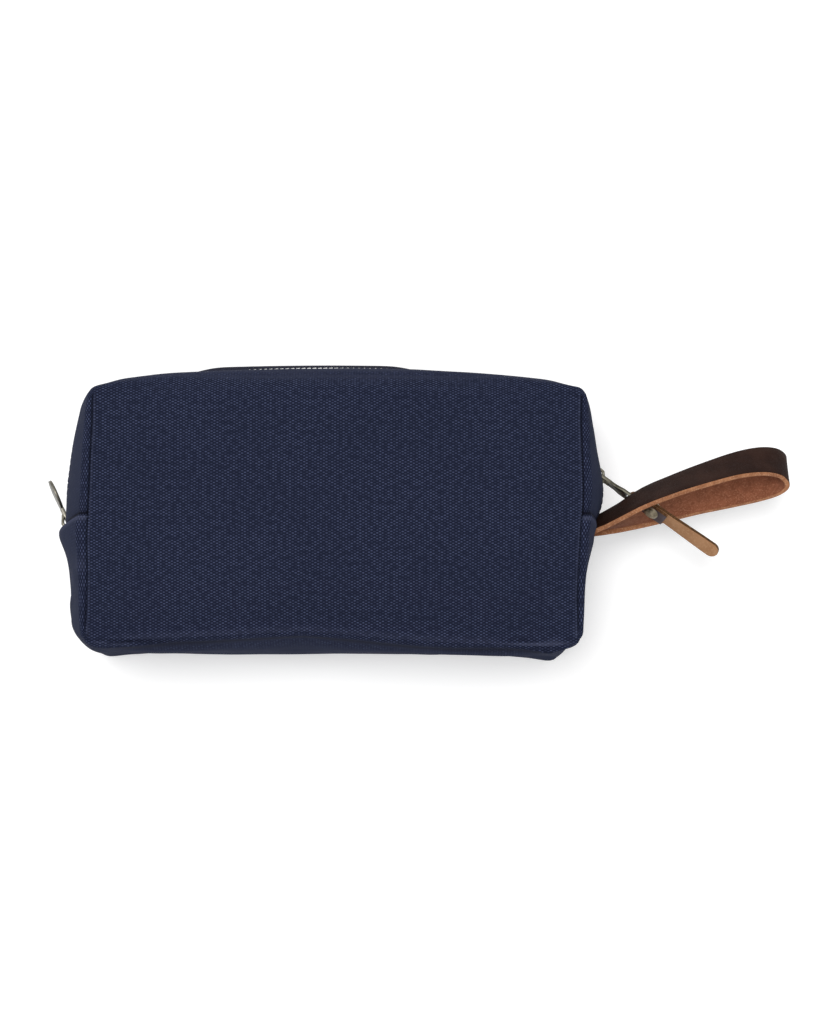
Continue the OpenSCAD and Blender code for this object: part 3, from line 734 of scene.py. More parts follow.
def simulateShell():
    # the closed shell, pinned at its corners and seams, filled and left to settle
    halves = [halfShell(coarseLong, coarseEnd, coarseRows, front, 0) for front in (True, False)]
    points, faces, tubesAll, gridsAll = [], [], [], []
    for which, (walls, panel) in enumerate(halves):
        got, tubes, grid = mergeHalf(walls, panel)
        offset = sum(len(p) for p in points)
        points.append(got)
        for tube in tubes:
            faces += [tuple(v + offset for v in f) for f in gridFaces(tube, flip=which == 1)]
        faces += [tuple(v + offset for v in f) for f in gridFaces(grid, flip=which == 1)]
        tubesAll.append([t + offset for t in tubes])
        gridsAll.append(grid + offset)
    allPoints = np.concatenate(points)
    mesh = bpy.data.meshes.new("settling")
    mesh.from_pydata([tuple(p * mm) for p in allPoints], [], faces)
    shell = bpy.data.objects.new("settling", mesh)
    scene.collection.objects.link(shell)
    weights = np.zeros(len(allPoints))
    for half, tubes in enumerate(tubesAll):
        for k, tube in enumerate(tubes):
            weights[tube[:, 0]] = 1  # the mouth and the middle of the bottom
            weights[tube[0, :]] = np.maximum(weights[tube[0, :]], 0.5)
            if k in (1, 3):
                weights[tube[:, -1]] = np.maximum(weights[tube[:, -1]], 0.6)
                seam = coarseEnd.index(seamShare)
                if k == 3:  # the left end's rows run the other way
                    seam = len(coarseEnd) - 1 - seam
                weights[tube[seam, :]] = np.maximum(weights[tube[seam, :]], 0.5)
    group = shell.vertex_groups.new(name="held")
    for index, weight in enumerate(weights):
        if weight > 0:
            group.add([index], float(weight), "REPLACE")
    cloth = shell.modifiers.new("settle", "CLOTH")
    cloth.settings.quality = 6
    cloth.settings.mass = 0.25
    cloth.settings.tension_stiffness = simulation["tension"]
    cloth.settings.compression_stiffness = simulation["tension"]
    cloth.settings.bending_stiffness = simulation["bending"]
    cloth.settings.use_pressure = True
    cloth.settings.uniform_pressure_force = simulation["pressure"]
    cloth.settings.shrink_min = -simulation["grow"]
    cloth.settings.vertex_group_mass = "held"
    cloth.settings.effector_weights.gravity = 0.35
    cloth.point_cache.frame_start = 1
    cloth.point_cache.frame_end = simulation["frames"]
    for number in range(1, simulation["frames"] + 1):
        scene.frame_set(number)
    graph = bpy.context.evaluated_depsgraph_get()
    settled = shell.evaluated_get(graph).to_mesh()
    moved = np.array([v.co for v in settled.vertices], float) / mm
    shell.evaluated_get(graph).to_mesh_clear()
    bpy.data.objects.remove(shell)
    scene.frame_set(1)
    move = (moved - allPoints) * simulation["share"]
    size = np.linalg.norm(move, axis=1, keepdims=True)
    move = move * np.minimum(1, simulation["cap"] / np.maximum(size, 1e-6))
    print("canvas settled: moves up to", round(float(size.max()), 2), "mm")
    return [([move[t] for t in tubesAll[h]], move[gridsAll[h]]) for h in (0, 1)]


def spread(coarse, fromA, fromB, toA, toB):
    # a coarse grid of moves carried over to a finer one
    inner = np.stack([[np.interp(toB, fromB, row[:, c]) for row in coarse] for c in range(3)], -1)
    return np.stack([[np.interp(toA, fromA, inner[:, j, c]) for j in range(inner.shape[1])]
                     for c in range(3)], -1).transpose(1, 0, 2)


def softSpread(coarse, fromA, fromB, toA, toB):
    # eased between the coarse rows, so that no facets show
    def ease(values, steps):
        index = np.interp(values, steps, np.arange(len(steps)))
        low = np.floor(index)
        part = index - low
        return low + 0.5 * (part + smooth01(part))
    ones = np.arange(len(fromA)), np.arange(len(fromB))
    return spread(coarse, ones[0], ones[1], ease(toA, fromA), ease(toB, fromB))


settledMoves = simulateShell()


def gridNormals(points, faces):
    normals = np.zeros_like(points)
    corners = points[np.array(faces)]
    face = np.cross(corners[:, 2] - corners[:, 0], corners[:, 3] - corners[:, 1])
    for c in range(4):
        np.add.at(normals, np.array(faces)[:, c], face)
    return normals / np.maximum(np.linalg.norm(normals, axis=1, keepdims=True), 1e-9)


def seamProfile(d, depth, width, ridge, ridgeAt):
    # a crack with a low ridge beside it, d millimetres from the seam
    return -depth * np.exp(-(d / width) ** 2) + ridge * np.exp(-((d - ridgeAt) / (width * 1.3)) ** 2)


def canvasHalf(front, inset=0.0, coarse=False):
    # the points, faces and weave coordinates of one half of the canvas
    lt, et, rows = (longT, endT, wallRows) if not coarse else (coarseLong, coarseEnd, coarseRows)
    gap = bag["mouthHalf"] if not inset else bag["mouthHalf"] + 5
    ring = bagOutline(1, np.array([0.3, 0.7]), np.array([0.5, 0.5]), np.zeros(2))
    target = float(np.interp(bag["seamAtMiddle"] + 3, ring[:, 1], [0.3, 0.7]))
    et = list(remapRows(et, seamShare, target))
    walls, panel = halfShell(lt, et, rows, front, gap)
    sides = [lt, et, lt, [1 - t for t in reversed(et)]]
    if settledMoves is not None:
        moves, panelMoves = settledMoves[0 if front else 1]
        coarseSides = [coarseLong, coarseEnd, coarseLong, [1 - t for t in reversed(coarseEnd)]]
        for k in range(4):
            walls[k] = walls[k] + softSpread(moves[k], coarseSides[k], coarseRows, sides[k], rows)
        panel = panel + softSpread(panelMoves, coarseLong, coarseEnd, lt, et)
    points, tubes, grid = mergeHalf(walls, panel)
    faces = []
    uvs = []
    reach = [np.zeros(len(t)) for t in sides]
    for k in range(4):
        middle = walls[k][:, 0, :2]
        reach[k] = np.concatenate([[0], np.cumsum(np.linalg.norm(np.diff(middle, axis=0), axis=1))])
    halfWidth = reach[0][-1] / 2
    for k, tube in enumerate(tubes):
        tubeFaces = gridFaces(tube, flip=not front)
        down = np.concatenate([np.zeros((tube.shape[0], 1)), np.cumsum(
            np.linalg.norm(np.diff(walls[k], axis=1), axis=2), axis=1)], 1)
        down = down[:, -1:] - down
        for i in range(tube.shape[0] - 1):
            for j in range(tube.shape[1] - 1):
                cells = [(i, j), (i + 1, j), (i + 1, j + 1), (i, j + 1)]
                if not front:
                    cells = cells[::-1]
                for a, b in cells:
                    if k in (0, 2):
                        edge = walls[k][a, -1, 1]
                        uvs.append((points[tube[a, b]][0], edge + down[a, b] * (-1 if k == 0 else 1)))
                    else:
                        uvs.append((halfWidth + reach[k][a], down[a, b]))
        faces += tubeFaces
    for i in range(grid.shape[0] - 1):
        for j in range(grid.shape[1] - 1):
            cells = [(i, j), (i + 1, j), (i + 1, j + 1), (i, j + 1)]
            if not front:
                cells = cells[::-1]
            for a, b in cells:
                p = points[grid[a, b]]
                uvs.append((p[0], p[1]))
    faces += gridFaces(grid, flip=not front)
    normals = gridNormals(points, faces)
    wearAndPaintedLight = np.zeros(len(points))
    if not coarse:
        # lift is real relief; the second value is painted highlight (partly rubbed cloth) and painted shade
        lift, wearAndPaintedLight = canvasDetail(points, tubes, grid, walls, sides, front)
        points = points + normals * lift[:, None]
        normals = gridNormals(points, faces)
    if inset:
        points = points - normals * inset
    points[:, 2] = np.maximum(points[:, 2], inset)
    return points, faces, uvs, tubes, wearAndPaintedLight, normals


def canvasDetail(points, tubes, grid, walls, sides, front):
    # how far each point stands out, and the light painted into its cloth: painted highlight, partly rubbed
    # cloth (above 0), and painted shade (below 0)
    lift = np.zeros(len(points))
    wearAndPaintedLight = np.zeros(len(points))
    for k in (1, 3):  # the end seams and their lips, with painted shade in the crack beside each lip and a painted highlight along the lip, partly rubbed cloth
        tube = tubes[k]
        for i in range(tube.shape[0]):
            for j in range(tube.shape[1]):
                p = points[tube[i, j]]
                d = seamHeight(p[2]) - p[1]  # positive below the seam
                fade = 0.45 + 0.55 * math.exp(-((p[2] - bag["middle"]) / 34) ** 4)
                if d > 0:
                    rise = math.sqrt(max(0, 1 - (1 - min(d / 1.8, 1)) ** 2))
                    lift[tube[i, j]] += fade * bag["lip"] * rise * math.exp(-max(d - 1.8, 0) / 13)
                    wearAndPaintedLight[tube[i, j]] += 0.5 * math.exp(-((d - 1.1) / 0.8) ** 2)
                else:
                    lift[tube[i, j]] -= fade * bag["tuck"] * math.exp(d / 3.5)
                shadow = 0.25 * math.exp(d / 3) if d <= 0 else 0
                wearAndPaintedLight[tube[i, j]] -= 0.9 * math.exp(-((d + 0.4) / 0.75) ** 2) + shadow
    for edge, which in ((0, 3), (grid.shape[0] - 1, 1)):  # the corner seams beside the panel, with painted shade along each seam and a painted highlight, partly rubbed cloth, on the ridge beside it
        line = points[grid[edge, :]]
        for j in range(grid.shape[1]):
            near = smooth01(min(j, grid.shape[1] - 1 - j) / 5)
            below = 1 if line[j][1] > bag["seamAtFolds"] else 0.45
            for step in range(1, 14):
                i = edge + step if edge == 0 else edge - step
                d = abs(points[grid[i, j]][0] - line[j][0])
                lift[grid[i, j]] += near * seamProfile(d, 0.7, 0.36, 0.30, 1.0)
                rubAndHighlight = 0.22 * math.exp(-((d - 0.95) / 0.32) ** 2)
                wearAndPaintedLight[grid[i, j]] += near * (rubAndHighlight - 0.7 * below * math.exp(-(d / 0.30) ** 2))
            lift[grid[edge, j]] -= 0.7 * near
            wearAndPaintedLight[grid[edge, j]] -= 0.8 * near * below
        tube = tubes[which]
        for i in range(tube.shape[0]):
            share = sides[which][i]
            near = float(smooth01(min(share, 1 - share) / 0.05))
            for j in range(tube.shape[1] - 9, tube.shape[1] - 1):
                d = np.linalg.norm(walls[which][i, j] - walls[which][i, -1])
                lift[tube[i, j]] += near * seamProfile(d, 0.7, 0.45, 0.15, 1.6)
    if front:  # the pressed bottom fold with a hollow above it, and a dip behind it; a painted highlight along the fold and painted shade in the hollow
        for i in range(grid.shape[0]):
            edge = points[grid[i, 0]]
            for j in range(1, grid.shape[1]):
                d = points[grid[i, j]][1] - edge[1]
                if d < 26:
                    lift[grid[i, j]] += (0.35 * math.exp(-((d - 1.5) / 2.4) ** 2)
                                         - 0.6 * math.exp(-((d - 11) / 6.5) ** 2))
                    wearAndPaintedLight[grid[i, j]] += (0.10 * math.exp(-((d - 1.0) / 2.2) ** 2)
                                         - 0.06 * math.exp(-((d - 9) / 5) ** 2))
        # painted shade in a dark line on the wall just behind the fold
        tube = tubes[0]
        for i in range(tube.shape[0]):
            near = float(smooth01(min(sides[0][i], 1 - sides[0][i]) / 0.04))
            for j in range(tube.shape[1]):
                x, _, z = points[tube[i, j]]
                lift[tube[i, j]] -= near * 1.2 * math.exp(-((z - 86) / 3.2) ** 2)
                wearAndPaintedLight[tube[i, j]] -= near * 0.55 * math.exp(-((z - 90) / 2.2) ** 2)

        shell = np.concatenate([grid.reshape(-1), tubes[0].reshape(-1)])
        for tuck in (-1, 1):  # a lens-shaped tuck along each end of the bottom fold, with a painted highlight on its ridge and painted shade in its line
            for v in np.unique(shell):
                x, y, z = points[v]
                inX = math.exp(-(((x - tuck * 1.5) * tuck - 98) / 17) ** 4)
                line = -59.6 + 0.02 * (abs(x) - 100)
                if z > 80 and y < -54:
                    lift[v] += inX * (0.4 * math.exp(-((y - line + 1.9) / 1.2) ** 2)
                                      - 0.5 * math.exp(-((y - line) / 0.8) ** 2))
                    wearAndPaintedLight[v] += inX * (0.30 * math.exp(-((y - line + 1.7) / 1.0) ** 2)
                                      - 0.5 * math.exp(-((y - line) / 0.55) ** 2))
        for v in np.unique(tubes[3]):  # the creased ridge down the lower left flap, with a painted highlight along it and painted shade beside it
            x, y, z = points[v]
            off = (y + 24) * 0.88 - (z - 92) * 0.476
            run = smooth01((z - 50) / 10) * smooth01((97 - z) / 5)
            lift[v] += run * (0.7 * math.exp(-(off / 3) ** 2) - 0.5 * math.exp(-((off + 6) / 3) ** 2))
            wearAndPaintedLight[v] += run * (0.16 * math.exp(-(off / 2.2) ** 2) - 0.10 * math.exp(-((off + 5) / 2.5) ** 2))
        for corner, reachX in ((grid[0, 0], 1), (grid[-1, 0], -1)):  # soft creases from the bottom corners, with a painted highlight on their ridges
            start = points[corner]
            for v in grid.reshape(-1):
                dx, dy = (points[v][0] - start[0]) * reachX, points[v][1] - start[1]
                if 0 < dx < 22 and 0 < dy < 26:
                    off = (dx - dy) / math.sqrt(2)
                    fade = math.exp(-((dx + dy) / 26) ** 2)
                    ridge = math.exp(-((off + 1.5) / 1.8) ** 2)
                    lift[v] += (0.55 * ridge - 0.45 * math.exp(-((off - 2.0) / 2.0) ** 2)) * fade
                    wearAndPaintedLight[v] += 0.10 * ridge * fade
    for v in range(len(points)):  # low, slow unevenness of filled cloth
        x, y, z = points[v]
        lift[v] += 0.28 * math.sin(x / 17 + 1.3 * math.sin(y / 23)) * math.sin(y / 15 + z / 21 + 0.7)
        lift[v] += 0.16 * math.sin(x / 7.3 + y / 11 + 2) * math.sin(y / 8.1 - x / 13 + z / 9)
    return lift, wearAndPaintedLight


def solidCloth(piece, thickness, levels):
    if levels:
        sub = piece.modifiers.new("round", "SUBSURF")
        sub.levels = levels
        sub.render_levels = levels
        sub.boundary_smooth = "PRESERVE_CORNERS"
    solid = piece.modifiers.new("wall", "SOLIDIFY")
    solid.thickness = thickness * mm
    solid.offset = -1
    solid.use_even_offset = False
    finishMesh(piece)
    for vertex in piece.data.vertices:  # nothing sinks below the table
        vertex.co.z = max(vertex.co.z, 0)
    return piece


def makeCanvas():
    halves = {}
    for name, node, front in (("frontCanvas", "front_panel", True), ("backCanvas", "back_panel", False)):
        points, faces, uvs, tubes, wearAndPaintedLight, normals = canvasHalf(front)
        piece = meshPiece(name, points, faces, [looks["canvas"]], None, uvs, wearAndPaintedLight)
        solidCloth(piece, bag["canvas"], 1)
        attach(piece, "bag")
        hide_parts(node)
        halves[front] = (points, tubes, normals)
        print(name, "made:", len(piece.data.polygons), "faces")
    for name, node, front in (("frontLining", "front_lining", True), ("backLining", "back_lining", False)):
        points, faces, uvs, _, _, _ = canvasHalf(front, bag["canvas"] + bag["liningGap"], coarse=True)
        piece = meshPiece(name, points, faces, [looks["lining"]], None, uvs)
        solidCloth(piece, 0.5, 1)
        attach(piece, "bag")
        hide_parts(node)
    return halves


canvasHalves = makeCanvas()
print("canvas and lining made")


# ---- the zip ----

zipper = {  # millimetres
    "pitch": 2.66,
    "toothLength": 1.3,
    "toothStart": -0.5,
    "apart": 0.95,
    "meshedAbove": 44,
    "toothEnd": 2.9,
    "toothHeight": 2.0,
    "tapeThickness": 0.6,
    "lowEnd": -12.0,
    "aboveStrap": -1.5,
    "cornerRadius": 13.0,
    "samples": 60,
}


def zipPoint(side, t):
    t = np.asarray(t, float)
    corners = [np.repeat(c[None], len(t), 0) for c in zipCorners]
    bows = [np.full(len(t), b, float) for b in zipBows]
    radius = np.full(len(t), zipper["cornerRadius"])
    return outlinePoint(corners, bows, radius, side, t, t * 0, (0, 0, 0, 0))


def zipLine():
    # from the lower right end, up, over the top and down to the lower left end
    t = np.linspace(0, 1, zipper["samples"])[:-1]
    line = np.concatenate([zipPoint(1, t), zipPoint(2, t), zipPoint(3, t)])
    return line[np.array([p[1] > zipper["lowEnd"] for p in line])]


def rimPoints(front):
    # the canvas's mouth edge in the same order, and a second row further under the canvas
    points, tubes, normals = canvasHalves[front]
    order = [tubes[k][i, :] for k in (1, 2, 3) for i in range(tubes[k].shape[0] - 1)]
    rim = np.array([points[o[0]] for o in order])
    under = np.array([points[o[4]] for o in order])
    push = np.array([normals[o[3]] for o in order])
    keep = rim[:, 1] > zipper["lowEnd"] - 1
    return rim[keep], under[keep], push[keep]


def makeTape(name, node, front):
    sign = 1 if front else -1
    line = zipLine()
    rim, under, push = rimPoints(front)
    share = edgeShare(line)
    length = np.sum(np.linalg.norm(np.diff(line, axis=0), axis=1))
    rimShare = edgeShare(rim[:, :2])
    tucked = rim - push * 1.9
    deeper = under - push * 1.9
    along = lambda values: np.stack([np.interp(share, rimShare, values[:, c]) for c in range(3)], -1)
    tuckedAt, deeperAt = along(tucked), along(deeper)
    ring = []
    inward = -outward(np.roll(line, 1, 0), np.roll(line, -1, 0))
    inward[0], inward[-1] = inward[1], inward[-2]
    for n, p in enumerate(line):
        chain = np.array([p[0], p[1], bag["middle"] + sign * 1.1])
        edge = np.array([p[0], p[1], bag["middle"] + sign * 2.9])
        lifted = 0.55 * edge + 0.45 * tuckedAt[n]
        lifted[2] = bag["middle"] + sign * 4.4
        if not front:  # the back tape puffs up over the middle of the top
            puff = float(topWindow(p[0])) if p[1] > 40 else 0
            edge[1] += 1.6 * puff
            lifted[1] += (74.6 - lifted[1]) * puff
        ring.append([chain, edge, lifted, tuckedAt[n] + np.array([0, 0, sign * 1.0]), deeperAt[n]])
    points = np.array(ring)
    widths = np.cumsum(np.linalg.norm(np.diff(points, axis=1), axis=2), 1)
    across = np.concatenate([np.zeros((len(line), 1)), widths], 1)
    grid = np.arange(points.shape[0] * points.shape[1]).reshape(points.shape[:2])
    uvs = []
    for i in range(grid.shape[0] - 1):
        for j in range(grid.shape[1] - 1):
            cells = [(i, j), (i + 1, j), (i + 1, j + 1), (i, j + 1)]
            for a, b in (cells if front else cells[::-1]):
                uvs.append((share[a] * length, across[a, b]))
    faces = gridFaces(grid, flip=not front)
    piece = meshPiece(name, points.reshape(-1, 3), faces, [looks["tape"]], None, uvs)
    solidCloth(piece, zipper["tapeThickness"], 1)
    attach(piece, "bag")
    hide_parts(node)
    return piece


def geometryTree(name, inputs):
    tree = bpy.data.node_groups.new(name, "GeometryNodeTree")
    tree.interface.new_socket(name="Geometry", in_out="INPUT", socket_type="NodeSocketGeometry")
    for label, kind, value in inputs:
        socket = tree.interface.new_socket(name=label, in_out="INPUT", socket_type=kind)
        if value is not None:
            socket.default_value = value
    tree.interface.new_socket(name="Geometry", in_out="OUTPUT", socket_type="NodeSocketGeometry")
    return tree, tree.nodes.new("NodeGroupInput"), tree.nodes.new("NodeGroupOutput")


def buildRepeatTree(name):
    # a small rounded block repeated along a line, turned to follow it
    tree, inp, out = geometryTree(name, [
        ("Pitch", "NodeSocketFloat", 0.002),
        ("Size", "NodeSocketVector", (0.001, 0.001, 0.001)),
        ("Offset", "NodeSocketVector", (0, 0, 0)),
        ("Jitter", "NodeSocketFloat", 0.0),
        ("Seed", "NodeSocketInt", 7),
        ("Material", "NodeSocketMaterial", None)])
    curve = addNode(tree, "GeometryNodeMeshToCurve", {"Mesh": inp.outputs["Geometry"]})
    dots = addNode(tree, "GeometryNodeCurveToPoints", {"Curve": curve.outputs[0]}, mode="LENGTH")
    tree.links.new(inp.outputs["Pitch"], dots.inputs["Length"])
    turn = addNode(tree, "FunctionNodeAxesToRotation", {"Secondary Axis": (0, 0, 1)},
                   primary_axis="X", secondary_axis="Z")
    tree.links.new(dots.outputs["Tangent"], turn.inputs["Primary Axis"])
    block = addNode(tree, "GeometryNodeMeshCube", {"Vertices X": 2, "Vertices Y": 2, "Vertices Z": 2})
    tree.links.new(inp.outputs["Size"], block.inputs["Size"])
    rounded = addNode(tree, "GeometryNodeSubdivisionSurface", {
        "Mesh": block.outputs["Mesh"], "Level": 1, "Edge Crease": 0.55})
    placed = addNode(tree, "GeometryNodeTransform", {"Geometry": rounded.outputs[0]})
    tree.links.new(inp.outputs["Offset"], placed.inputs["Translation"])
    random = addNode(tree, "FunctionNodeRandomValue", {"Min": (-1, -1, -1), "Max": (1, 1, 1)},
                     data_type="FLOAT_VECTOR")
    tree.links.new(inp.outputs["Seed"], random.inputs["Seed"])
    jitter = addNode(tree, "ShaderNodeVectorMath", {0: random.outputs[0]}, operation="SCALE")
    tree.links.new(inp.outputs["Jitter"], jitter.inputs["Scale"])
    spreadOut = addNode(tree, "GeometryNodeSetPosition", {
        "Geometry": dots.outputs["Points"], "Offset": jitter.outputs[0]})
    copies = addNode(tree, "GeometryNodeInstanceOnPoints", {
        "Points": spreadOut.outputs[0], "Instance": placed.outputs[0], "Rotation": turn.outputs[0]})
    real = addNode(tree, "GeometryNodeRealizeInstances", {"Geometry": copies.outputs[0]})
    painted = addNode(tree, "GeometryNodeSetMaterial", {"Geometry": real.outputs[0]})
    tree.links.new(inp.outputs["Material"], painted.inputs["Material"])
    tree.links.new(painted.outputs[0], out.inputs[0])
    return tree


repeatTree = buildRepeatTree("repeatAlongLine")


def repeatAlong(name, line, material, **values):
    mesh = bpy.data.meshes.new(name)
    mesh.from_pydata([tuple(p * mm) for p in line], [(i, i + 1) for i in range(len(line) - 1)], [])
    piece = bpy.data.objects.new(name, mesh)
    scene.collection.objects.link(piece)
    modifier = piece.modifiers.new("repeat", "NODES")
    modifier.node_group = repeatTree
    sockets = {s.name: s.identifier for s in repeatTree.interface.items_tree if s.in_out == "INPUT"}
    for key, value in values.items():
        modifier[sockets[key]] = value
    modifier[sockets["Material"]] = material
    finishMesh(piece)
    if not piece.data.materials:
        piece.data.materials.append(material)
    return piece


def makeTeeth(name, node, front):
    sign = 1 if front else -1
    line = zipLine()
    share = edgeShare(line)
    length = np.sum(np.linalg.norm(np.diff(line, axis=0), axis=1))
    start = 0 if front else zipper["pitch"] / 2 / length  # the second row sits half a step on
    fine = np.linspace(start, 1, 400)
    dense = np.stack([np.interp(fine, share, line[:, c]) for c in range(2)], -1)
    path = np.concatenate([dense, np.full((len(dense), 1), bag["middle"])], 1)
    path = path[np.argmax(path[:, 1] > zipper["aboveStrap"]):]
    high = np.nonzero(path[:, 1] > zipper["meshedAbove"])[0]
    runs = ((path[:high[0] + 1], zipper["apart"]), (path[high[0]:high[-1] + 1], zipper["toothStart"]),
            (path[high[-1]:], zipper["apart"]))
    rows = []
    for number, (run, begin) in enumerate(runs):  # apart where the sliders run, meshed over the top
        middle = sign * (zipper["toothEnd"] + begin) / 2
        rows.append(repeatAlong(f"{name}{number}", run, looks["teeth"], Pitch=zipper["pitch"] * mm,
                                Size=(zipper["toothLength"] * mm, zipper["toothHeight"] * mm,
                                      (zipper["toothEnd"] - begin) * mm),
                                Offset=(0, 0, middle * mm), Jitter=0.00003))
    piece = joinPieces(name, rows)
    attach(piece, "bag")
    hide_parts(node)
    return piece


def joinPieces(name, pieces):
    # one mesh from several that share a material
    whole = bmesh.new()
    for piece in pieces:
        whole.from_mesh(piece.data)
    mesh = bpy.data.meshes.new(name)
    whole.to_mesh(mesh)
    whole.free()
    joined = linkPiece(name, mesh, pieces[0].data.materials[0])
    for piece in pieces:
        bpy.data.objects.remove(piece)
    return joined


def makeStitches(name, front):
    points, tubes, normals = canvasHalves[front]
    line = []
    for k in (1, 2, 3):
        for i in range(tubes[k].shape[0] - 1):
            v = tubes[k][i, 3]
            if points[v][1] > bag["seamAtMiddle"] + 5:
                line.append(points[v] + normals[v] * 0.02)
    piece = repeatAlong(name, np.array(line), looks["thread"], Pitch=0.0031,
                        Size=(0.0024, 0.0003, 0.00045), Offset=(0, 0, 0), Jitter=0.00004)
    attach(piece, "bag")
    return piece


makeTape("frontZipTape", "front_zip_tape", True)
makeTape("backZipTape", "back_zip_tape", False)
makeTeeth("frontZipTeeth", "front_teeth", True)
makeTeeth("backZipTeeth", "back_teeth", False)
makeStitches("frontZipStitches", True)
makeStitches("backZipStitches", False)
print("zip made")


# ---- bound seam allowances inside the bag ----

def makeBinding(name, node, thicknessAxis, runAxis):
    # a folded strip in the place of its CAD solid, with a soft round edge and a slight wave
    low, high = (np.array(c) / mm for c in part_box(node))
    standAxis = 3 - thicknessAxis - runAxis
    steps = 40
    across = [(-1, -0.5), (-0.5, -0.5), (0, -0.5), (0.5, -0.5), (0.9, -0.4), (1, 0),
              (0.9, 0.4), (0.5, 0.5), (0, 0.5), (-0.5, 0.5), (-1, 0.5)]
    mid, half = (low + high) / 2, (high - low) / 2
    inwardSign = -1 if mid[standAxis] > 0 else 1
    rings = []
    for s in range(steps + 1):
        f = 2 * s / steps - 1
        ring = []
        for a, b in across:
            p = np.zeros(3)
            p[runAxis] = mid[runAxis] + f * half[runAxis]
            reach = inwardSign * a * half[standAxis] * (0.96 + 0.04 * math.sin(s * 1.1))
            wave = 0.4 * math.sin(s * 0.7) * (a + 1) / 2
            p[standAxis] = mid[standAxis] + reach
            p[thicknessAxis] = mid[thicknessAxis] + b * half[thicknessAxis] * 1.3 + wave
            ring.append(p)
        rings.append(ring)
    points = np.array(rings)
    count = len(across)
    grid = np.arange(points.shape[0] * count).reshape(points.shape[0], count)
    closed = np.concatenate([grid, grid[:, :1]], 1)
    faces = gridFaces(closed) + [tuple(int(v) for v in grid[0]), tuple(int(v) for v in grid[-1][::-1])]
    piece = meshPiece(name, points.reshape(-1, 3), faces, [looks["binding"]])
    fixNormals(piece)
    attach(piece, "bag")
    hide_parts(node)
    return piece


def fixNormals(piece):
    soft = bmesh.new()
    soft.from_mesh(piece.data)
    bmesh.ops.recalc_face_normals(soft, faces=soft.faces)
    soft.to_mesh(piece.data)
    soft.free()


makeBinding("leftSeamBinding", "left_seam_binding", 1, 2)
makeBinding("rightSeamBinding", "right_seam_binding", 1, 2)
makeBinding("bottomSeamBinding", "bottom_seam_binding", 2, 0)
print("bindings made")


# ---- swept leather ----

def sweepLeather(name, centres, faceOut, wideDir, widths, thickness, materials, roundEdge=0.45):
    # a strap of given widths: grain on the faceOut side, flesh on the other, raw edges between
    r = roundEdge
    rings = []
    for c, out, wide, w in zip(centres, faceOut, wideDir, widths):
        hw, ht = w / 2, thickness / 2
        e = min(r, hw * 0.8)
        profile = [(-hw + e, ht), (-hw * 0.5, ht), (0, ht), (hw * 0.5, ht), (hw - e, ht),
                   (hw - e * 0.3, ht - r * 0.3),
                   (hw, ht - r), (hw, 0), (hw, r - ht), (hw - e * 0.3, r * 0.3 - ht),
                   (hw - e, -ht), (hw * 0.5, -ht), (0, -ht), (-hw * 0.5, -ht), (-hw + e, -ht),
                   (-hw + e * 0.3, r * 0.3 - ht),
                   (-hw, r - ht), (-hw, 0), (-hw, ht - r), (-hw + e * 0.3, ht - r * 0.3)]
        rings.append([c + wide * x + out * y for x, y in profile])
    points = np.array(rings)
    count = points.shape[1]
    grid = np.arange(points.shape[0] * count).reshape(points.shape[0], count)
    closed = np.concatenate([grid, grid[:, :1]], 1)
    faces = gridFaces(closed)
    zones = [0] * 4 + [0] + [1] * 4 + [2] + [2] * 4 + [2] + [1] * 4 + [0]
    material = [zones[j] for _ in range(points.shape[0] - 1) for j in range(count)]
    faces += [tuple(int(v) for v in grid[0]), tuple(int(v) for v in grid[-1][::-1])]
    material += [1, 1]
    piece = meshPiece(name, points.reshape(-1, 3), faces, materials, material)
    fixNormals(piece)
    return piece


def catmull(values, steps):
    # a smooth curve through a list of points, steps to each stretch
    values = np.asarray(values, float)
    last = len(values) - 1
    made = []
    for i in range(last):
        a, b, c, d = values[max(i - 1, 0)], values[i], values[i + 1], values[min(i + 2, last)]
        for k in range(steps):
            t = k / steps
            square = (2 * a - 5 * b + 4 * c - d) * t * t
            cube = (3 * b - a - 3 * c + d) * t ** 3
            made.append(0.5 * (2 * b + (c - a) * t + square + cube))
    made.append(values[-1])
    return np.array(made)


def unit(v):
    return v / np.linalg.norm(v, axis=-1, keepdims=True)


strap = {  # millimetres; each point is X, Y, Z and the strap's lean in degrees
    "width": 19.0,
    "thickness": 2.5,
    "steps": 8,
    "path": [
        (124.8, -5.7, 58.6, 17), (131.2, -2.5, 60.6, 18), (138, 1.2, 64, 20), (150, 8.2, 67, 26),
        (163, 13.6, 67, 28), (178, 18.9, 65.6, 31), (195, 24.0, 62.4, 35), (208, 26.0, 58.5, 40),
        (217, 25.0, 54.5, 45), (220.6, 21.4, 51, 50), (217, 18.0, 47.4, 56), (208, 15.2, 43, 60),
        (194, 12.0, 38.2, 60), (178, 8.2, 34.6, 54), (163, 3.3, 33.4, 42),
        (150, -1.8, 34.6, 26), (138, -6.2, 38.6, 12), (131.2, -8.0, 41.4, 5), (124.8, -9, 42.6, 3)],
}


def makeStrap():
    path = catmull(strap["path"], strap["steps"])
    centres, lean = path[:, :3], np.radians(path[:, 3])
    along = unit(np.gradient(centres, axis=0))
    face = unit(np.cross(np.stack([lean * 0, -np.sin(lean), np.cos(lean)], -1), along))
    wide = np.cross(along, face)
    widths = [strap["width"]] * len(centres)
    piece = sweepLeather("wristStrap", centres, face, wide, widths, strap["thickness"],
                         [looks["strapGrain"], looks["strapEdge"], looks["strapFlesh"]])
    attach(piece, "wrist_loop")
    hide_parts("wrist_loop")
    return piece


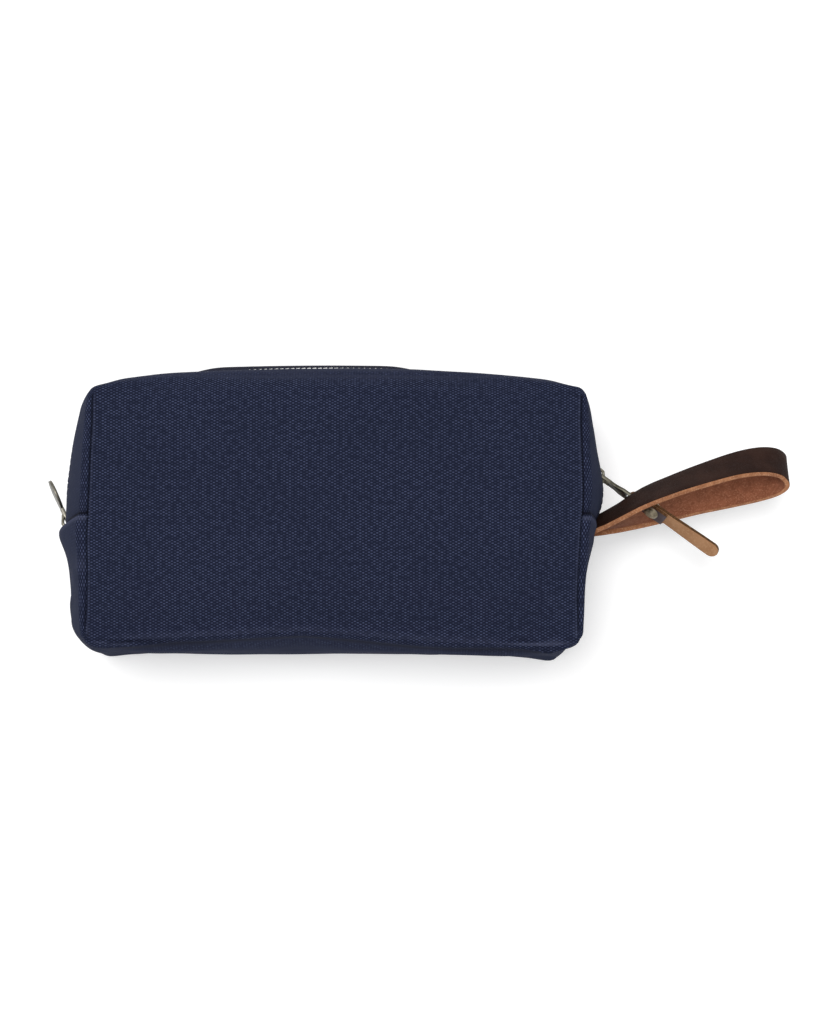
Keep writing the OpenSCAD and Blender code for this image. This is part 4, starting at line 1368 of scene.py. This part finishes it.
tab = {  # millimetres, in the frame of the pull's end bar
    "direction": -35,
    "roll": -34,
    "twist": -14,
    "length": 49.0,
    "shortEnd": 18.0,
    "foldRadius": 1.7,
    "thickness": 1.8,
    "width": 8.0,
    "neck": 4.8,
}


def tabWidth(x):
    grown = tab["neck"] + (tab["width"] - tab["neck"]) * float(smooth01((x - 1) / 7.5))
    tip = tab["width"] / 2
    past = x - (tab["length"] - tip)
    return grown if past <= 0 else 2 * math.sqrt(max(tip * tip - past * past, 0.04))


def makeTab():
    bar = np.array(joints["leather_tab_swing"]["pos_m"]) / mm
    turn = math.radians(tab["direction"])
    ex = np.array([math.cos(turn), math.sin(turn), 0])
    ey = np.array([-math.sin(turn), math.cos(turn), 0])
    ez = np.array([0, 0, 1.0])
    mid = tab["foldRadius"] + tab["thickness"] / 2
    longX = list(np.linspace(tab["length"], tab["length"] - 4, 9)) + list(np.linspace(43, 0, 22))
    line = [(x, -mid) for x in longX]
    line += [(-mid * math.sin(a), -mid * math.cos(a)) for a in np.linspace(0, math.pi, 13)[1:]]
    line += [(1.6, mid), (2.6, mid - 0.5), (3.7, 1.1), (4.8, 0.1), (6.0, -0.62), (7.2, -0.8)]
    line += [(x, -0.8) for x in np.linspace(8.5, tab["shortEnd"], 8)]
    line = np.array(line)
    step = unit(np.gradient(line, axis=0))
    outDir = np.stack([-step[:, 1], step[:, 0]], -1)  # away from the fold's inside
    if outDir[10][1] > 0:
        outDir = -outDir
    centres, outs, wides, widths = [], [], [], []
    for (x, y), (ox, oy) in zip(line, outDir):
        roll = math.radians(tab["roll"] + tab["twist"] * float(smooth01((x - 16) / 30)))
        # the short layer is on the upturned side
        up = -(ey * math.cos(roll) + ez * math.sin(roll))
        wide = -ey * math.sin(roll) + ez * math.cos(roll)
        base = up * y
        if x > 16:  # the twist turns about the long layer's own middle
            still = math.radians(tab["roll"])
            base = -(ey * math.cos(still) + ez * math.sin(still)) * y
        centres.append(bar + ex * x + base)
        outs.append(ex * ox + up * oy)
        wides.append(wide)
        widths.append(tabWidth(x))
    # the grain side carries a painted sheen in its grey colour
    piece = sweepLeather("leatherTab", centres, outs, wides, widths, tab["thickness"],
                         [looks["tabGrainSheen"], looks["tabEdge"], looks["tabFlesh"]], 0.3)
    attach(piece, "leather_tab")
    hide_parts("leather_tab")
    return piece


makeStrap()
makeTab()
print("strap and tab made")


# ---- metal pieces: the CAD shapes with their edges broken ----

metal = {
    "right_slider_body": ("rightSliderBody", "right_slider", "slider_brass", "slider", 0.16),
    "right_slider_bridge": ("rightSliderBridge", "right_slider", "slider_brass", "slider", 0.2),
    "right_pull": ("rightPull", "right_pull", "pull_brass", "slider", 0.18),
    "rivet_cap": ("rivetCap", "leather_tab", "rivet_brass", "rivet", 0.22),
    "rivet_post": ("rivetPost", "leather_tab", "rivet_brass", "rivet", 0.15),
    "left_slider_body": ("leftSliderBody", "left_slider", "slider_brass", "slider", 0.16),
    "left_slider_bridge": ("leftSliderBridge", "left_slider", "slider_brass", "slider", 0.2),
    "left_pull": ("leftOvalPull", "left_pull", "pull_brass", "pull", 0.18),
}


def makeMetal(node, name, body, slot, look, edge):
    mesh = nodes[node].data.copy()
    mesh.materials.clear()
    piece = linkPiece(name, mesh, looks[look])
    shape = bmesh.new()
    shape.from_mesh(mesh)
    bmesh.ops.remove_doubles(shape, verts=shape.verts, dist=0.00001)
    bmesh.ops.dissolve_limit(shape, angle_limit=math.radians(1.5), verts=shape.verts, edges=shape.edges)
    shape.to_mesh(mesh)
    shape.free()
    mesh.polygons.foreach_set("material_index", [0] * len(mesh.polygons))
    bevel = piece.modifiers.new("edges", "BEVEL")
    bevel.width = edge * mm
    bevel.segments = 2
    bevel.limit_method = "ANGLE"
    bevel.angle_limit = math.radians(32)
    finishMesh(piece)
    piece.data.shade_smooth()
    piece.data.set_sharp_from_angle(angle=math.radians(35))
    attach(piece, body)
    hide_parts(node)
    return piece


for cadNode, details in metal.items():
    makeMetal(cadNode, *details)
print("metal made:", len(metal))
